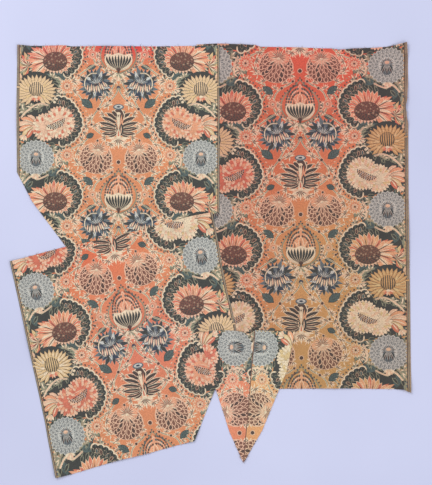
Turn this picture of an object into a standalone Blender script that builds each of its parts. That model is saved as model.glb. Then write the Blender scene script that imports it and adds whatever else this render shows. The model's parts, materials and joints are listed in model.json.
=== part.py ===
"""Brocade panel: five joined cuts of a floral silk, laid out flat.

Metres, +Z up. The cloth lies on Z = 0 with its right side up, and +Y points along
the warp, towards the raw top edge. The origin is under the middle of the whole panel.

Each cut has its own frame: s runs along the weft from the middle of the loom width,
t runs down the warp from the row of paired artichoke flowers, and turn is how far
the cut was swung round before it was joined, anticlockwise and in degrees.
"""

import math
from collections import namedtuple

import bmesh
import bpy
from mathutils import Vector

CLOTH = 0.0010  # thickness of the brocade with its floats
GAP = 0.0003  # clearance between cuts, and at the sewn edges
LAYER = CLOTH + GAP
RAMP = 0.016  # how far a lapped cut takes to come down to the table
CLEAR = 0.0025  # how far past an edge below it a cut stays up

FINE = 0.015  # grid step near the edges, where the cloth waves
COARSE = 0.036  # grid step in the flat middle
FINE_BAND = 0.062  # how far in from an edge the fine step goes
EDGE_FADE = 0.060  # how far in from an edge its waves die out

Cut = namedtuple("Cut", "name origin turn left right top bottom colour")
CUTS = [
    Cut("right_panel", (0.2235, 0.4848), 0.3, -0.258, 0.270, -0.048, 0.806, (0.72, 0.36, 0.20)),
    Cut("upper_left_panel", (-0.230, 0.2565), 0.0, -0.254, 0.2525, -0.279, 0.250, (0.70, 0.42, 0.26)),
    Cut("lower_left_panel", (-0.2305, -0.0328), 12.0, -0.259, 0.259, -0.094, 0.457, (0.74, 0.34, 0.19)),
    Cut("gore_left", (0.0613, -0.432), 90.0, -0.090, 0.255, -0.110, 0.070, (0.72, 0.40, 0.25)),
    Cut("gore_right", (0.1163, -0.432), -92.5, -0.258, 0.090, -0.110, 0.050, (0.74, 0.48, 0.26)),
]

# Straight scissor cuts, from one point to another, that leave the cloth on their left.
Slash = namedtuple("Slash", "cut start end")
GORE_TIP = (0.0825, -0.5070)
SLASHES = [
    Slash("upper_left_panel", (-0.4840, 0.2198), (-0.4455, 0.1465)),
    Slash("upper_left_panel", (-0.4455, 0.1465), (-0.3613, 0.0330)),
    Slash("upper_left_panel", (-0.4988, -0.0160), (0.0225, 0.1200)),
    Slash("lower_left_panel", (-0.0400, -0.4520), (0.0663, -0.1845)),
    Slash("gore_left", (-0.0313, -0.1820), (0.0475, -0.4295)),
    Slash("gore_left", (0.0475, -0.4295), GORE_TIP),
    Slash("gore_left", (0.0823, -0.5070), (0.1110, -0.1770)),
    Slash("gore_right", (0.1113, -0.1770), (0.0826, -0.5070)),
    Slash("gore_right", GORE_TIP, (0.1300, -0.4240)),
    Slash("gore_right", (0.1300, -0.4240), (0.1900, -0.2780)),
    Slash("gore_right", (0.1900, -0.2780), (0.2113, -0.1770)),
]

# How far an edge strays from its straight line, in mm, at places along it in mm.
# Top and bottom edges are read at s and move t, side edges are read at t and move s.
WAVES = {
    ("right_panel", "top"): [
        (-258, -8), (-205, -10), (-150, -8), (-115, -6), (-95, -1), (-27, 0), (75, 4),
        (100, 7), (140, 4), (180, 3), (213, 1), (238, -3), (253, -7), (270, -11),
    ],
    ("right_panel", "right"): [
        (-50, -2), (-10, 0), (42, 0), (79, -2), (103, -6), (122, -4), (147, 0), (284, 0), (684, 3), (817, 4),
    ],
    ("right_panel", "bottom"): [(-258, 0), (100, 0), (225, 2), (253, 4), (262, 9), (274, 13)],
    ("upper_left_panel", "top"): [
        (-254, -3), (-211, 0), (-171, -1), (-139, -2), (-114, 1), (-46, 0), (104, 1), (179, 0), (252, -1),
    ],
    ("upper_left_panel", "left"): [(-279, 1), (-120, -1), (36, 0)],
    ("lower_left_panel", "top"): [(-259, 8), (-115, 2), (-28, 2), (62, 0), (120, -3), (210, -8), (259, -7)],
    ("lower_left_panel", "left"): [(-87, 0), (100, 1), (320, 2), (384, 0), (468, -1)],
    ("lower_left_panel", "right"): [(-100, 3), (-42, 2), (41, -1), (100, -2), (136, 0), (210, 0)],
    ("lower_left_panel", "bottom"): [(-259, 11), (-68, 0), (99, -7)],
    ("gore_left", "right"): [(-92, -4), (-37, 3), (0, 1), (35, -6), (54, 3)],
    ("gore_right", "left"): [(-84, -1), (-40, 0), (0, 1), (12, 0)],
}

# What each cut lies over, and how far past that cut's edge it stays up.
Lap = namedtuple("Lap", "cut below stays_up")
LAPS = [
    Lap("upper_left_panel", "right_panel", CLEAR),
    Lap("lower_left_panel", "right_panel", CLEAR + RAMP + 0.004),
    Lap("lower_left_panel", "upper_left_panel", CLEAR),
    Lap("gore_left", "right_panel", CLEAR),
    Lap("gore_left", "lower_left_panel", CLEAR + 0.004),
    Lap("gore_right", "right_panel", CLEAR),
    Lap("gore_right", "lower_left_panel", CLEAR + 0.004),
]

# Sides of a cut that another cut lies across. Its scissor cuts are all lain across.
COVERED_SIDES = {
    "right_panel": ("left", "bottom"),
    "upper_left_panel": ("right",),
    "lower_left_panel": ("right",),
}

# Soft lifts where the cloth stands off the table. Each has its middle, its reach
# along and across its own direction, that direction in degrees, and its height.
Lift = namedtuple("Lift", "cut x y along across turn height")
LIFTS = [
    Lift("right_panel", 0.492, 0.388, 0.085, 0.050, 90, 0.0055),
    Lift("right_panel", 0.488, 0.542, 0.060, 0.045, 45, 0.0065),
    Lift("right_panel", 0.500, -0.328, 0.060, 0.040, 120, 0.0045),
    Lift("right_panel", 0.345, 0.526, 0.080, 0.040, 0, 0.0028),
    Lift("right_panel", 0.085, 0.536, 0.070, 0.040, 0, 0.0022),
    Lift("right_panel", 0.315, -0.320, 0.080, 0.040, 0, 0.0022),
    Lift("right_panel", 0.500, 0.060, 0.110, 0.036, 90, 0.0024),
    Lift("upper_left_panel", -0.480, 0.535, 0.055, 0.045, 135, 0.0034),
    Lift("upper_left_panel", -0.250, 0.535, 0.090, 0.036, 0, 0.0024),
    Lift("upper_left_panel", -0.484, 0.350, 0.080, 0.036, 90, 0.0020),
    Lift("upper_left_panel", -0.438, 0.138, 0.070, 0.036, 122, 0.0026),
    Lift("lower_left_panel", -0.497, -0.004, 0.055, 0.045, 45, 0.0036),
    Lift("lower_left_panel", -0.455, -0.205, 0.090, 0.040, 102, 0.0032),
    Lift("lower_left_panel", -0.388, -0.540, 0.060, 0.045, 135, 0.0042),
    Lift("lower_left_panel", -0.205, -0.490, 0.090, 0.036, 12, 0.0026),
    Lift("lower_left_panel", -0.040, -0.444, 0.050, 0.036, 60, 0.0030),
    Lift("gore_left", 0.083, -0.504, 0.045, 0.030, 90, 0.0024),
    Lift("gore_right", 0.083, -0.504, 0.045, 0.030, 90, 0.0024),
    Lift("gore_left", 0.098, -0.176, 0.045, 0.030, 0, 0.0026),
    Lift("gore_right", 0.098, -0.176, 0.045, 0.030, 0, 0.0026),
    Lift("gore_right", 0.208, -0.180, 0.036, 0.030, 120, 0.0022),
]

CUT_NAMED = {cut.name: cut for cut in CUTS}


def directions(cut):
    """Unit vectors of a cut's weft and, downwards, of its warp."""
    angle = math.radians(cut.turn)
    weft = Vector((math.cos(angle), math.sin(angle)))
    warp = Vector((math.sin(angle), -math.cos(angle)))
    return weft, warp


def on_table(cut, s, t):
    """The point of the table under the cut's own point (s, t)."""
    weft, warp = directions(cut)
    return Vector(cut.origin) + weft * s + warp * t


def grid_lines(start, stop):
    """Places of the grid lines between two edges, fine near both of them."""
    length = stop - start
    if length < 4 * FINE_BAND:
        count = math.ceil(length / FINE)
        return [start + length * i / count for i in range(count + 1)]
    band_count = math.ceil(FINE_BAND / FINE)
    band = [FINE_BAND * i / band_count for i in range(band_count)]
    middle = length - 2 * FINE_BAND
    count = math.ceil(middle / COARSE)
    inner = [start + FINE_BAND + middle * i / count for i in range(count + 1)]
    return [start + b for b in band] + inner + [stop - b for b in reversed(band)]


def smooth(x):
    """0 before 0, 1 after 1, and an even slope-free step between them."""
    x = min(1.0, max(0.0, x))
    return x * x * (3 - 2 * x)


def wave_at(cut, side, place):
    """How far that edge strays at a place along it, in metres."""
    table = WAVES.get((cut.name, side))
    if not table:
        return 0.0
    at = place * 1000
    if at <= table[0][0]:
        return table[0][1] / 1000
    for (a, low), (b, high) in zip(table, table[1:]):
        if at <= b:
            return (low + (high - low) * smooth((at - a) / (b - a))) / 1000
    return table[-1][1] / 1000


def strayed(cut, s, t):
    """The cut's point after its edges are given their waves."""
    def fade(distance):
        return 1 - smooth(distance / EDGE_FADE)

    ds = wave_at(cut, "left", t) * fade(s - cut.left) + wave_at(cut, "right", t) * fade(cut.right - s)
    dt = wave_at(cut, "top", s) * fade(t - cut.top) + wave_at(cut, "bottom", s) * fade(cut.bottom - t)
    return s + ds, t + dt


def side_line(cut, side):
    """A point on a straight edge of the cut, and the direction out of the cloth there."""
    weft, warp = directions(cut)
    return {
        "left": (on_table(cut, cut.left, 0), -weft),
        "right": (on_table(cut, cut.right, 0), weft),
        "top": (on_table(cut, 0, cut.top), -warp),
        "bottom": (on_table(cut, 0, cut.bottom), warp),
    }[side]


def slash_line(slash):
    """A point on a scissor cut, and the direction out of the cloth there."""
    start, end = Vector(slash.start), Vector(slash.end)
    along = (end - start).normalized()
    return start, Vector((along.y, -along.x))


def covered_lines(name):
    """The lines of a cut's edges that another cut lies across."""
    lines = [side_line(CUT_NAMED[name], side) for side in COVERED_SIDES[name]]
    return lines + [slash_line(slash) for slash in SLASHES if slash.cut == name]


def lift_at(name, point):
    """How far the cut's soft lifts raise it off the table."""
    height = 0.0
    for lift in LIFTS:
        if lift.cut != name:
            continue
        angle = math.radians(lift.turn)
        dx, dy = point.x - lift.x, point.y - lift.y
        along = (dx * math.cos(angle) + dy * math.sin(angle)) / lift.along
        across = (-dx * math.sin(angle) + dy * math.cos(angle)) / lift.across
        inside = max(0.0, 1 - along * along - across * across)
        height += lift.height * inside * inside
    return height


def underside_at(name, point):
    """Height of the cut's underside over a point of the table."""
    height = lift_at(name, point)
    for lap in LAPS:
        if lap.cut == name:
            past = max((point - start).dot(out) for start, out in covered_lines(lap.below))
            height += LAYER * (1 - smooth((past - lap.stays_up) / RAMP))
    return height


def flat_grid(cut):
    """The whole loom-width rectangle of a cut, as a grid in its own s and t."""
    across = grid_lines(cut.left, cut.right)
    down = grid_lines(cut.top, cut.bottom)
    mesh = bmesh.new()
    columns, rows = len(across) - 1, len(down) - 1
    bmesh.ops.create_grid(mesh, x_segments=columns, y_segments=rows, size=1.0)
    for vert in mesh.verts:
        column = round((vert.co.x + 1) / 2 * columns)
        row = round((1 - vert.co.y) / 2 * rows)
        s, t = strayed(cut, across[column], down[row])
        vert.co.xy = on_table(cut, s, t)
    return mesh


def split(mesh, start, out, trim=False):
    """Cuts the flat cloth along a line, and drops what lies past it if trim is set."""
    bmesh.ops.bisect_plane(
        mesh,
        geom=mesh.verts[:] + mesh.edges[:] + mesh.faces[:],
        plane_co=start.to_3d(),
        plane_no=out.to_3d(),
        clear_outer=trim,
    )


def cloth_mesh(cut):
    """The underside of a cut: its outline, its ramps over other cuts and its lifts."""
    mesh = flat_grid(cut)
    for slash in SLASHES:
        if slash.cut == cut.name:
            split(mesh, *slash_line(slash), trim=True)
    for lap in LAPS:
        if lap.cut == cut.name:
            for start, out in covered_lines(lap.below):
                for step in (0, 1, 2, 3):
                    split(mesh, start + out * (lap.stays_up + RAMP * step / 3), out)
    bmesh.ops.remove_doubles(mesh, verts=mesh.verts[:], dist=0.0006)
    bmesh.ops.triangulate(mesh, faces=mesh.faces[:])
    for vert in mesh.verts:
        vert.co.z = underside_at(cut.name, vert.co.xy)
    bmesh.ops.recalc_face_normals(mesh, faces=mesh.faces[:])
    if sum(face.normal.z for face in mesh.faces) < 0:
        bmesh.ops.reverse_faces(mesh, faces=mesh.faces[:])
    data = bpy.data.meshes.new(cut.name)
    mesh.to_mesh(data)
    mesh.free()
    return data


def silk(cut):
    """Satin-ground silk in the cut's own faded ground colour."""
    material = bpy.data.materials.new(cut.name + "_silk")
    material.use_nodes = True
    shader = material.node_tree.nodes["Principled BSDF"]
    shader.inputs["Base Color"].default_value = (*cut.colour, 1)
    shader.inputs["Roughness"].default_value = 0.62
    shader.inputs["Metallic"].default_value = 0.0
    return material


def make_cut(cut, collection):
    """One cut of cloth as its own solid."""
    sheet = bpy.data.objects.new(cut.name, cloth_mesh(cut))
    sheet.data.materials.append(silk(cut))
    collection.objects.link(sheet)
    thickness = sheet.modifiers.new("thickness", "SOLIDIFY")
    thickness.thickness = CLOTH
    thickness.offset = 1.0
    thickness.use_even_offset = True
    sheet.data.shade_smooth()


def main():
    for old in list(bpy.data.objects):
        bpy.data.objects.remove(old)
    collection = bpy.data.collections.new("brocade_panel")
    bpy.context.scene.collection.children.link(collection)
    for cut in CUTS:
        make_cut(cut, collection)


main()
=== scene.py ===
"""Brocade panel, dressed: the silks with their woven pattern, selvedges, stitches and
frayed edges, laid on a pale floor under soft light.
"""

import json
import math
import random
from collections import namedtuple

import bmesh
import bpy
import numpy as np
from mathutils import Matrix, Vector
from mathutils.geometry import delaunay_2d_cdt

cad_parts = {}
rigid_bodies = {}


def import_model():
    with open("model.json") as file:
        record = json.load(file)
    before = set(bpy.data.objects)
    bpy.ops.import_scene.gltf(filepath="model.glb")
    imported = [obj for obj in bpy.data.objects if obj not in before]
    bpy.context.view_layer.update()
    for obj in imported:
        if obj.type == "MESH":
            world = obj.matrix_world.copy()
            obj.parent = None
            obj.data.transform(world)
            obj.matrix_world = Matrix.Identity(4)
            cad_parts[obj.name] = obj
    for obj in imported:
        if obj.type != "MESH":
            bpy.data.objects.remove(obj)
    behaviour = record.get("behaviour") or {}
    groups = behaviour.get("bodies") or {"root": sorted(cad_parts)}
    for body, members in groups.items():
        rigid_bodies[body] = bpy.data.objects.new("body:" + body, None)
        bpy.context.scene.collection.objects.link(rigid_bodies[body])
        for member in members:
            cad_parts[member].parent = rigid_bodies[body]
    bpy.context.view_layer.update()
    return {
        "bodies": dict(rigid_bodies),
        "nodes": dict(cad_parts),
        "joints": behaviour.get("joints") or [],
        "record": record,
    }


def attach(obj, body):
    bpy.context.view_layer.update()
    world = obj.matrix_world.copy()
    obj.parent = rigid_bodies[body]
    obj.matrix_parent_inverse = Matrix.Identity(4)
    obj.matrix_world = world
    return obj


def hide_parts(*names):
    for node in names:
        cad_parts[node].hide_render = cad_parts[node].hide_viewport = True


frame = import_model()

# The camera looks straight down from far off, so that the panel lies in the frame as it
# does in the photograph: 432 by 485 steps of 2.5 mm.
VIEW_MIDDLE = (0.01375, 0.04425)
VIEW_HEIGHT = 485 * 0.0025
LENS = 110.0

camera_data = bpy.data.cameras.new("camera")
camera_data.lens = LENS
camera_data.sensor_fit = "VERTICAL"
camera_data.sensor_height = 24.0
camera = bpy.data.objects.new("camera", camera_data)
camera.location = (*VIEW_MIDDLE, VIEW_HEIGHT * LENS / camera_data.sensor_height + 0.001)
bpy.context.scene.collection.objects.link(camera)
bpy.context.scene.camera = camera

# The sizes and the lie of the cuts are those of the solids that they replace.
CLOTH = 0.0010  # thickness of the brocade with its floats
GAP = 0.0003  # clearance between cuts, and at the sewn edges
LAYER = CLOTH + GAP
RAMP = 0.016  # how far a lapped cut takes to come down to the table
CLEAR = 0.0025  # how far past an edge below it a cut stays up

EDGE_FADE = 0.060  # how far in from an edge its waves die out


Cut = namedtuple("Cut", "name origin turn left right top bottom")
CUTS = [
    Cut("right_panel", (0.2235, 0.4848), 0.3, -0.258, 0.270, -0.048, 0.806),
    Cut("upper_left_panel", (-0.230, 0.2565), 0.0, -0.254, 0.2525, -0.279, 0.250),
    Cut("lower_left_panel", (-0.2305, -0.0328), 12.0, -0.259, 0.259, -0.094, 0.457),
    Cut("gore_left", (0.0613, -0.432), 90.0, -0.090, 0.255, -0.110, 0.070),
    Cut("gore_right", (0.1163, -0.432), -92.5, -0.258, 0.090, -0.110, 0.050),
]

# Straight scissor cuts, from one point to another, that leave the cloth on their left.
Slash = namedtuple("Slash", "cut start end")
GORE_TIP = (0.0825, -0.5070)
SLASHES = [
    Slash("upper_left_panel", (-0.4840, 0.2198), (-0.4455, 0.1465)),
    Slash("upper_left_panel", (-0.4455, 0.1465), (-0.3613, 0.0330)),
    Slash("upper_left_panel", (-0.4988, -0.0160), (0.0225, 0.1200)),
    Slash("lower_left_panel", (-0.0400, -0.4520), (0.0663, -0.1845)),
    Slash("gore_left", (-0.0313, -0.1820), (0.0475, -0.4295)),
    Slash("gore_left", (0.0475, -0.4295), GORE_TIP),
    Slash("gore_left", (0.0823, -0.5070), (0.1110, -0.1770)),
    Slash("gore_right", (0.1113, -0.1770), (0.0826, -0.5070)),
    Slash("gore_right", GORE_TIP, (0.1300, -0.4240)),
    Slash("gore_right", (0.1300, -0.4240), (0.1900, -0.2780)),
    Slash("gore_right", (0.1900, -0.2780), (0.2113, -0.1770)),
]

# How far an edge strays from its straight line, in mm, at places along it in mm.
# Top and bottom edges are read at s and move t, side edges are read at t and move s.
WAVES = {
    ("right_panel", "top"): [
        (-258, -8), (-205, -10), (-150, -8), (-115, -6), (-95, -1), (-27, 0), (75, 4),
        (100, 7), (140, 4), (180, 3), (213, 1), (238, -3), (253, -7), (270, -11),
    ],
    ("right_panel", "right"): [
        (-50, -2), (-10, 0), (42, 0), (79, -2), (103, -6), (122, -4), (147, 0), (284, 0), (684, 3), (817, 4),
    ],
    ("right_panel", "bottom"): [(-258, 0), (100, 0), (225, 2), (253, 4), (262, 9), (274, 13)],
    ("upper_left_panel", "top"): [
        (-254, -3), (-211, 0), (-171, -1), (-139, -2), (-114, 1), (-46, 0), (104, 1), (179, 0), (252, -1),
    ],
    ("upper_left_panel", "left"): [(-279, 1), (-120, -1), (36, 0)],
    ("lower_left_panel", "top"): [(-259, 8), (-115, 2), (-28, 2), (62, 0), (120, -3), (210, -8), (259, -7)],
    ("lower_left_panel", "left"): [(-87, 0), (100, 1), (320, 2), (384, 0), (468, -1)],
    ("lower_left_panel", "right"): [(-100, 3), (-42, 2), (41, -1), (100, -2), (136, 0), (210, 0)],
    ("lower_left_panel", "bottom"): [(-259, 11), (-68, 0), (99, -7)],
    ("gore_left", "right"): [(-92, -4), (-37, 3), (0, 1), (35, -6), (54, 3)],
    ("gore_right", "left"): [(-84, -1), (-40, 0), (0, 1), (12, 0)],
}

# What each cut lies over, and how far past that cut's edge it stays up.
Lap = namedtuple("Lap", "cut below stays_up")
LAPS = [
    Lap("upper_left_panel", "right_panel", CLEAR),
    Lap("lower_left_panel", "right_panel", CLEAR + RAMP + 0.004),
    Lap("lower_left_panel", "upper_left_panel", CLEAR),
    Lap("gore_left", "right_panel", CLEAR),
    Lap("gore_left", "lower_left_panel", CLEAR + 0.004),
    Lap("gore_right", "right_panel", CLEAR),
    Lap("gore_right", "lower_left_panel", CLEAR + 0.004),
]

# Sides of a cut that another cut lies across. Its scissor cuts are all lain across.
COVERED_SIDES = {
    "right_panel": ("left", "bottom"),
    "upper_left_panel": ("right",),
    "lower_left_panel": ("right",),
}

# Soft lifts where the cloth stands off the table. Each has its middle, its reach
# along and across its own direction, that direction in degrees, and its height.
Lift = namedtuple("Lift", "cut x y along across turn height")
LIFTS = [
    Lift("right_panel", 0.492, 0.388, 0.085, 0.050, 90, 0.0055),
    Lift("right_panel", 0.488, 0.542, 0.060, 0.045, 45, 0.0065),
    Lift("right_panel", 0.500, -0.328, 0.060, 0.040, 120, 0.0045),
    Lift("right_panel", 0.345, 0.526, 0.080, 0.040, 0, 0.0028),
    Lift("right_panel", 0.085, 0.536, 0.070, 0.040, 0, 0.0022),
    Lift("right_panel", 0.315, -0.320, 0.080, 0.040, 0, 0.0022),
    Lift("right_panel", 0.500, 0.060, 0.110, 0.036, 90, 0.0024),
    Lift("upper_left_panel", -0.480, 0.535, 0.055, 0.045, 135, 0.0034),
    Lift("upper_left_panel", -0.250, 0.535, 0.090, 0.036, 0, 0.0024),
    Lift("upper_left_panel", -0.484, 0.350, 0.080, 0.036, 90, 0.0020),
    Lift("upper_left_panel", -0.438, 0.138, 0.070, 0.036, 122, 0.0026),
    Lift("lower_left_panel", -0.497, -0.004, 0.055, 0.045, 45, 0.0036),
    Lift("lower_left_panel", -0.455, -0.205, 0.090, 0.040, 102, 0.0032),
    Lift("lower_left_panel", -0.388, -0.540, 0.060, 0.045, 135, 0.0042),
    Lift("lower_left_panel", -0.205, -0.490, 0.090, 0.036, 12, 0.0026),
    Lift("lower_left_panel", -0.040, -0.444, 0.050, 0.036, 60, 0.0030),
    Lift("gore_left", 0.083, -0.504, 0.045, 0.030, 90, 0.0024),
    Lift("gore_right", 0.083, -0.504, 0.045, 0.030, 90, 0.0024),
    Lift("gore_left", 0.098, -0.176, 0.045, 0.030, 0, 0.0026),
    Lift("gore_right", 0.098, -0.176, 0.045, 0.030, 0, 0.0026),
    Lift("gore_right", 0.208, -0.180, 0.036, 0.030, 120, 0.0022),
]

CUT_NAMED = {cut.name: cut for cut in CUTS}


def directions(cut):
    """Unit vectors of a cut's weft and, downwards, of its warp."""
    angle = math.radians(cut.turn)
    weft = Vector((math.cos(angle), math.sin(angle)))
    warp = Vector((math.sin(angle), -math.cos(angle)))
    return weft, warp


def on_table(cut, s, t):
    """The point of the table under the cut's own point (s, t)."""
    weft, warp = directions(cut)
    return Vector(cut.origin) + weft * s + warp * t


def smooth(x):
    """0 before 0, 1 after 1, and an even slope-free step between them."""
    x = min(1.0, max(0.0, x))
    return x * x * (3 - 2 * x)


def wave_at(cut, side, place):
    """How far that edge strays at a place along it, in metres."""
    table = WAVES.get((cut.name, side))
    if not table:
        return 0.0
    at = place * 1000
    if at <= table[0][0]:
        return table[0][1] / 1000
    for (a, low), (b, high) in zip(table, table[1:]):
        if at <= b:
            return (low + (high - low) * smooth((at - a) / (b - a))) / 1000
    return table[-1][1] / 1000


def strayed(cut, s, t):
    """The cut's point after its edges are given their waves."""
    def fade(distance):
        return 1 - smooth(distance / EDGE_FADE)

    ds = wave_at(cut, "left", t) * fade(s - cut.left) + wave_at(cut, "right", t) * fade(cut.right - s)
    dt = wave_at(cut, "top", s) * fade(t - cut.top) + wave_at(cut, "bottom", s) * fade(cut.bottom - t)
    return s + ds, t + dt


def side_line(cut, side):
    """A point on a straight edge of the cut, and the direction out of the cloth there."""
    weft, warp = directions(cut)
    return {
        "left": (on_table(cut, cut.left, 0), -weft),
        "right": (on_table(cut, cut.right, 0), weft),
        "top": (on_table(cut, 0, cut.top), -warp),
        "bottom": (on_table(cut, 0, cut.bottom), warp),
    }[side]


def slash_line(slash):
    """A point on a scissor cut, and the direction out of the cloth there."""
    start, end = Vector(slash.start), Vector(slash.end)
    along = (end - start).normalized()
    return start, Vector((along.y, -along.x))


def covered_lines(name):
    """The lines of a cut's edges that another cut lies across."""
    lines = [side_line(CUT_NAMED[name], side) for side in COVERED_SIDES[name]]
    return lines + [slash_line(slash) for slash in SLASHES if slash.cut == name]


def lift_at(name, point):
    """How far the cut's soft lifts raise it off the table."""
    height = 0.0
    for lift in LIFTS:
        if lift.cut != name:
            continue
        angle = math.radians(lift.turn)
        dx, dy = point.x - lift.x, point.y - lift.y
        along = (dx * math.cos(angle) + dy * math.sin(angle)) / lift.along
        across = (-dx * math.sin(angle) + dy * math.cos(angle)) / lift.across
        inside = max(0.0, 1 - along * along - across * across)
        height += lift.height * inside * inside
    return height


def underside_at(name, point):
    """Height of the cut's underside over a point of the table."""
    height = lift_at(name, point)
    for lap in LAPS:
        if lap.cut == name:
            past = max((point - start).dot(out) for start, out in covered_lines(lap.below))
            height += LAYER * (1 - smooth((past - lap.stays_up) / RAMP))
    return height


# The woven pattern. Its draft is counted in steps of 2.5 mm: across from the middle of
# the loom width, and down the warp from the row of paired artichoke flowers. Only the
# right half is drafted, because the harness ties repeat it as a mirror image.
STEP = 0.0025
REPEAT = 140.0  # steps from one artichoke row to the next

# The dyes as they look now, in plain 8-bit colour, and how far each follows the fading
# of the ground around it.
Dye = namedtuple("Dye", "red green blue follows")
DYES = {
    "ground": Dye(222, 144, 100, 1.0),
    "glow": Dye(230, 160, 118, 0.85),
    "ink": Dye(66, 66, 62, 0.05),
    "umber": Dye(90, 70, 62, 0.12),
    "brown": Dye(132, 92, 76, 0.18),
    "plum": Dye(126, 84, 70, 0.20),
    "moss": Dye(88, 102, 98, 0.08),
    "sage": Dye(150, 148, 122, 0.16),
    "bark": Dye(170, 148, 122, 0.16),
    "steel": Dye(152, 151, 145, 0.07),
    "mist": Dye(203, 201, 191, 0.08),
    "navy": Dye(62, 70, 84, 0.04),
    "slate": Dye(104, 112, 115, 0.06),
    "cream": Dye(236, 213, 180, 0.16),
    "shell": Dye(234, 190, 158, 0.32),
    "peach": Dye(232, 163, 125, 0.45),
    "rose": Dye(214, 122, 96, 0.42),
    "straw": Dye(222, 188, 138, 0.35),
    "tan": Dye(224, 191, 150, 0.30),
    "ochre": Dye(206, 160, 108, 0.20),
}

Shape = namedtuple("Shape", "points dye once behind root tip half")


class Draft:
    """Shapes of the pattern in weaving order, each later one over the ones before it."""

    def __init__(self):
        self.shapes = []
        self.behind = False
        self.put(0, 0)

    def put(self, across, down, turn=0.0, size=1.0, once=False):
        """Says where the next motif goes, how far it is turned, and if it is drawn once."""
        self.across, self.down, self.size, self.once = across, down, size, once
        self.cos, self.sin = math.cos(math.radians(turn)), math.sin(math.radians(turn))

    def place(self, x, y):
        """A motif's own point, x outwards and y upwards, as steps across and down."""
        x, y = x * self.size, y * self.size
        return (self.across + x * self.cos - y * self.sin, self.down - x * self.sin - y * self.cos)

    def shape(self, points, dye, root=None, tip=None, half=1.0):
        """A shape of one dye. Its hatching runs from root to tip, half is half its width."""
        root = root or points[0]
        tip = tip or points[len(points) // 2]
        placed = [self.place(*p) for p in points]
        self.shapes.append(
            Shape(placed, dye, self.once, self.behind, self.place(*root), self.place(*tip), half * self.size)
        )

    def oval(self, x, y, rx, ry, dye, turn=0.0, sides=12):
        """A dot, disc or seed."""
        c, s = math.cos(math.radians(turn)), math.sin(math.radians(turn))
        points = []
        for i in range(sides):
            a = math.tau * (i + 0.5) / sides
            u, v = rx * math.cos(a), ry * math.sin(a)
            points.append((x + u * c - v * s, y + u * s + v * c))
        self.shape(points, dye, (x, y - ry), (x, y + ry), rx)

    def blade(self, x, y, angle, length, width, dye, belly=0.6, bend=0.0, blunt=0.0, joints=3):
        """A petal or leaf from its root at x, y. Belly says where it is widest."""
        lefts, rights = [], []
        px, py, step = x, y, length / (joints + 1)
        for i in range(1, joints + 1):
            a = math.radians(angle + bend * i / (joints + 1))
            px, py = px + step * math.cos(a), py + step * math.sin(a)
            v = i / (joints + 1)
            w = v / belly if v < belly else (1 - v) / (1 - belly)
            half = width / 2 * math.sin(math.pi / 2 * min(1.0, w)) ** 0.75
            half = max(half, blunt * width / 2 if v >= belly else 0)
            nx, ny = -math.sin(a), math.cos(a)
            lefts.append((px + nx * half, py + ny * half))
            rights.append((px - nx * half, py - ny * half))
        a = math.radians(angle + bend)
        tip = (px + step * math.cos(a), py + step * math.sin(a))
        self.shape([(x, y)] + rights + [tip] + lefts[::-1], dye, (x, y), tip, width / 2)

    def edged(self, x, y, angle, length, width, dye, edge, rim=0.5, **more):
        """A blade with a fine outline of another colour."""
        self.blade(x, y, angle, length, width, edge, **more)
        a = math.radians(angle)
        self.blade(
            x + rim * math.cos(a), y + rim * math.sin(a), angle, length - 2.2 * rim, width - 2 * rim, dye, **more
        )

    def fan(self, x, y, angles, length, width, dyes, reach=None, **more):
        """Blades that spread from one root. Reach scales each blade's length in turn."""
        for i, angle in enumerate(angles):
            scale = reach[i % len(reach)] if reach else 1.0
            self.blade(x, y, angle, length * scale, width, dyes[i % len(dyes)], **more)

    def ring(self, x, y, rx, ry, count, length, width, dye, edge=None, first=0.0, rim=0.45, **more):
        """Petals that stand round an oval."""
        for i in range(count):
            a = math.tau * i / count + math.radians(first)
            bx, by = x + rx * math.cos(a), y + ry * math.sin(a)
            angle = math.degrees(math.atan2(math.sin(a) / ry, math.cos(a) / rx))
            if edge:
                self.edged(bx, by, angle, length, width, dye, edge, rim, **more)
            else:
                self.blade(bx, by, angle, length, width, dye, **more)

    def line(self, points, width, dye, end_width=None):
        """A ribbon along a run of points, such as a stem."""
        lefts, rights = [], []
        last = len(points) - 1
        for i, (x, y) in enumerate(points):
            x1, y1 = points[max(i - 1, 0)]
            x2, y2 = points[min(i + 1, last)]
            run = math.hypot(x2 - x1, y2 - y1) or 1.0
            nx, ny = -(y2 - y1) / run, (x2 - x1) / run
            half = (width + ((end_width or width) - width) * i / last) / 2
            lefts.append((x + nx * half, y + ny * half))
            rights.append((x - nx * half, y - ny * half))
        self.shape(lefts + rights[::-1], dye, points[0], points[-1], width / 2)


def spread(first, last, count):
    """Evenly spaced values from first to last."""
    if count == 1:
        return [(first + last) / 2]
    return [first + (last - first) * i / (count - 1) for i in range(count)]


def curve(points, steps=5):
    """Smooth points through a few given ones."""
    out = []
    last = len(points) - 1
    for i in range(last):
        p0, p1 = points[max(i - 1, 0)], points[i]
        p2, p3 = points[i + 1], points[min(i + 2, last)]
        for k in range(steps):
            u = k / steps
            out.append(tuple(
                0.5 * (2 * b + (c - a) * u + (2 * a - 5 * b + 4 * c - d) * u * u + (3 * b - a - 3 * c + d) * u ** 3)
                for a, b, c, d in zip(p0, p1, p2, p3)
            ))
    out.append(points[-1])
    return out


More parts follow.
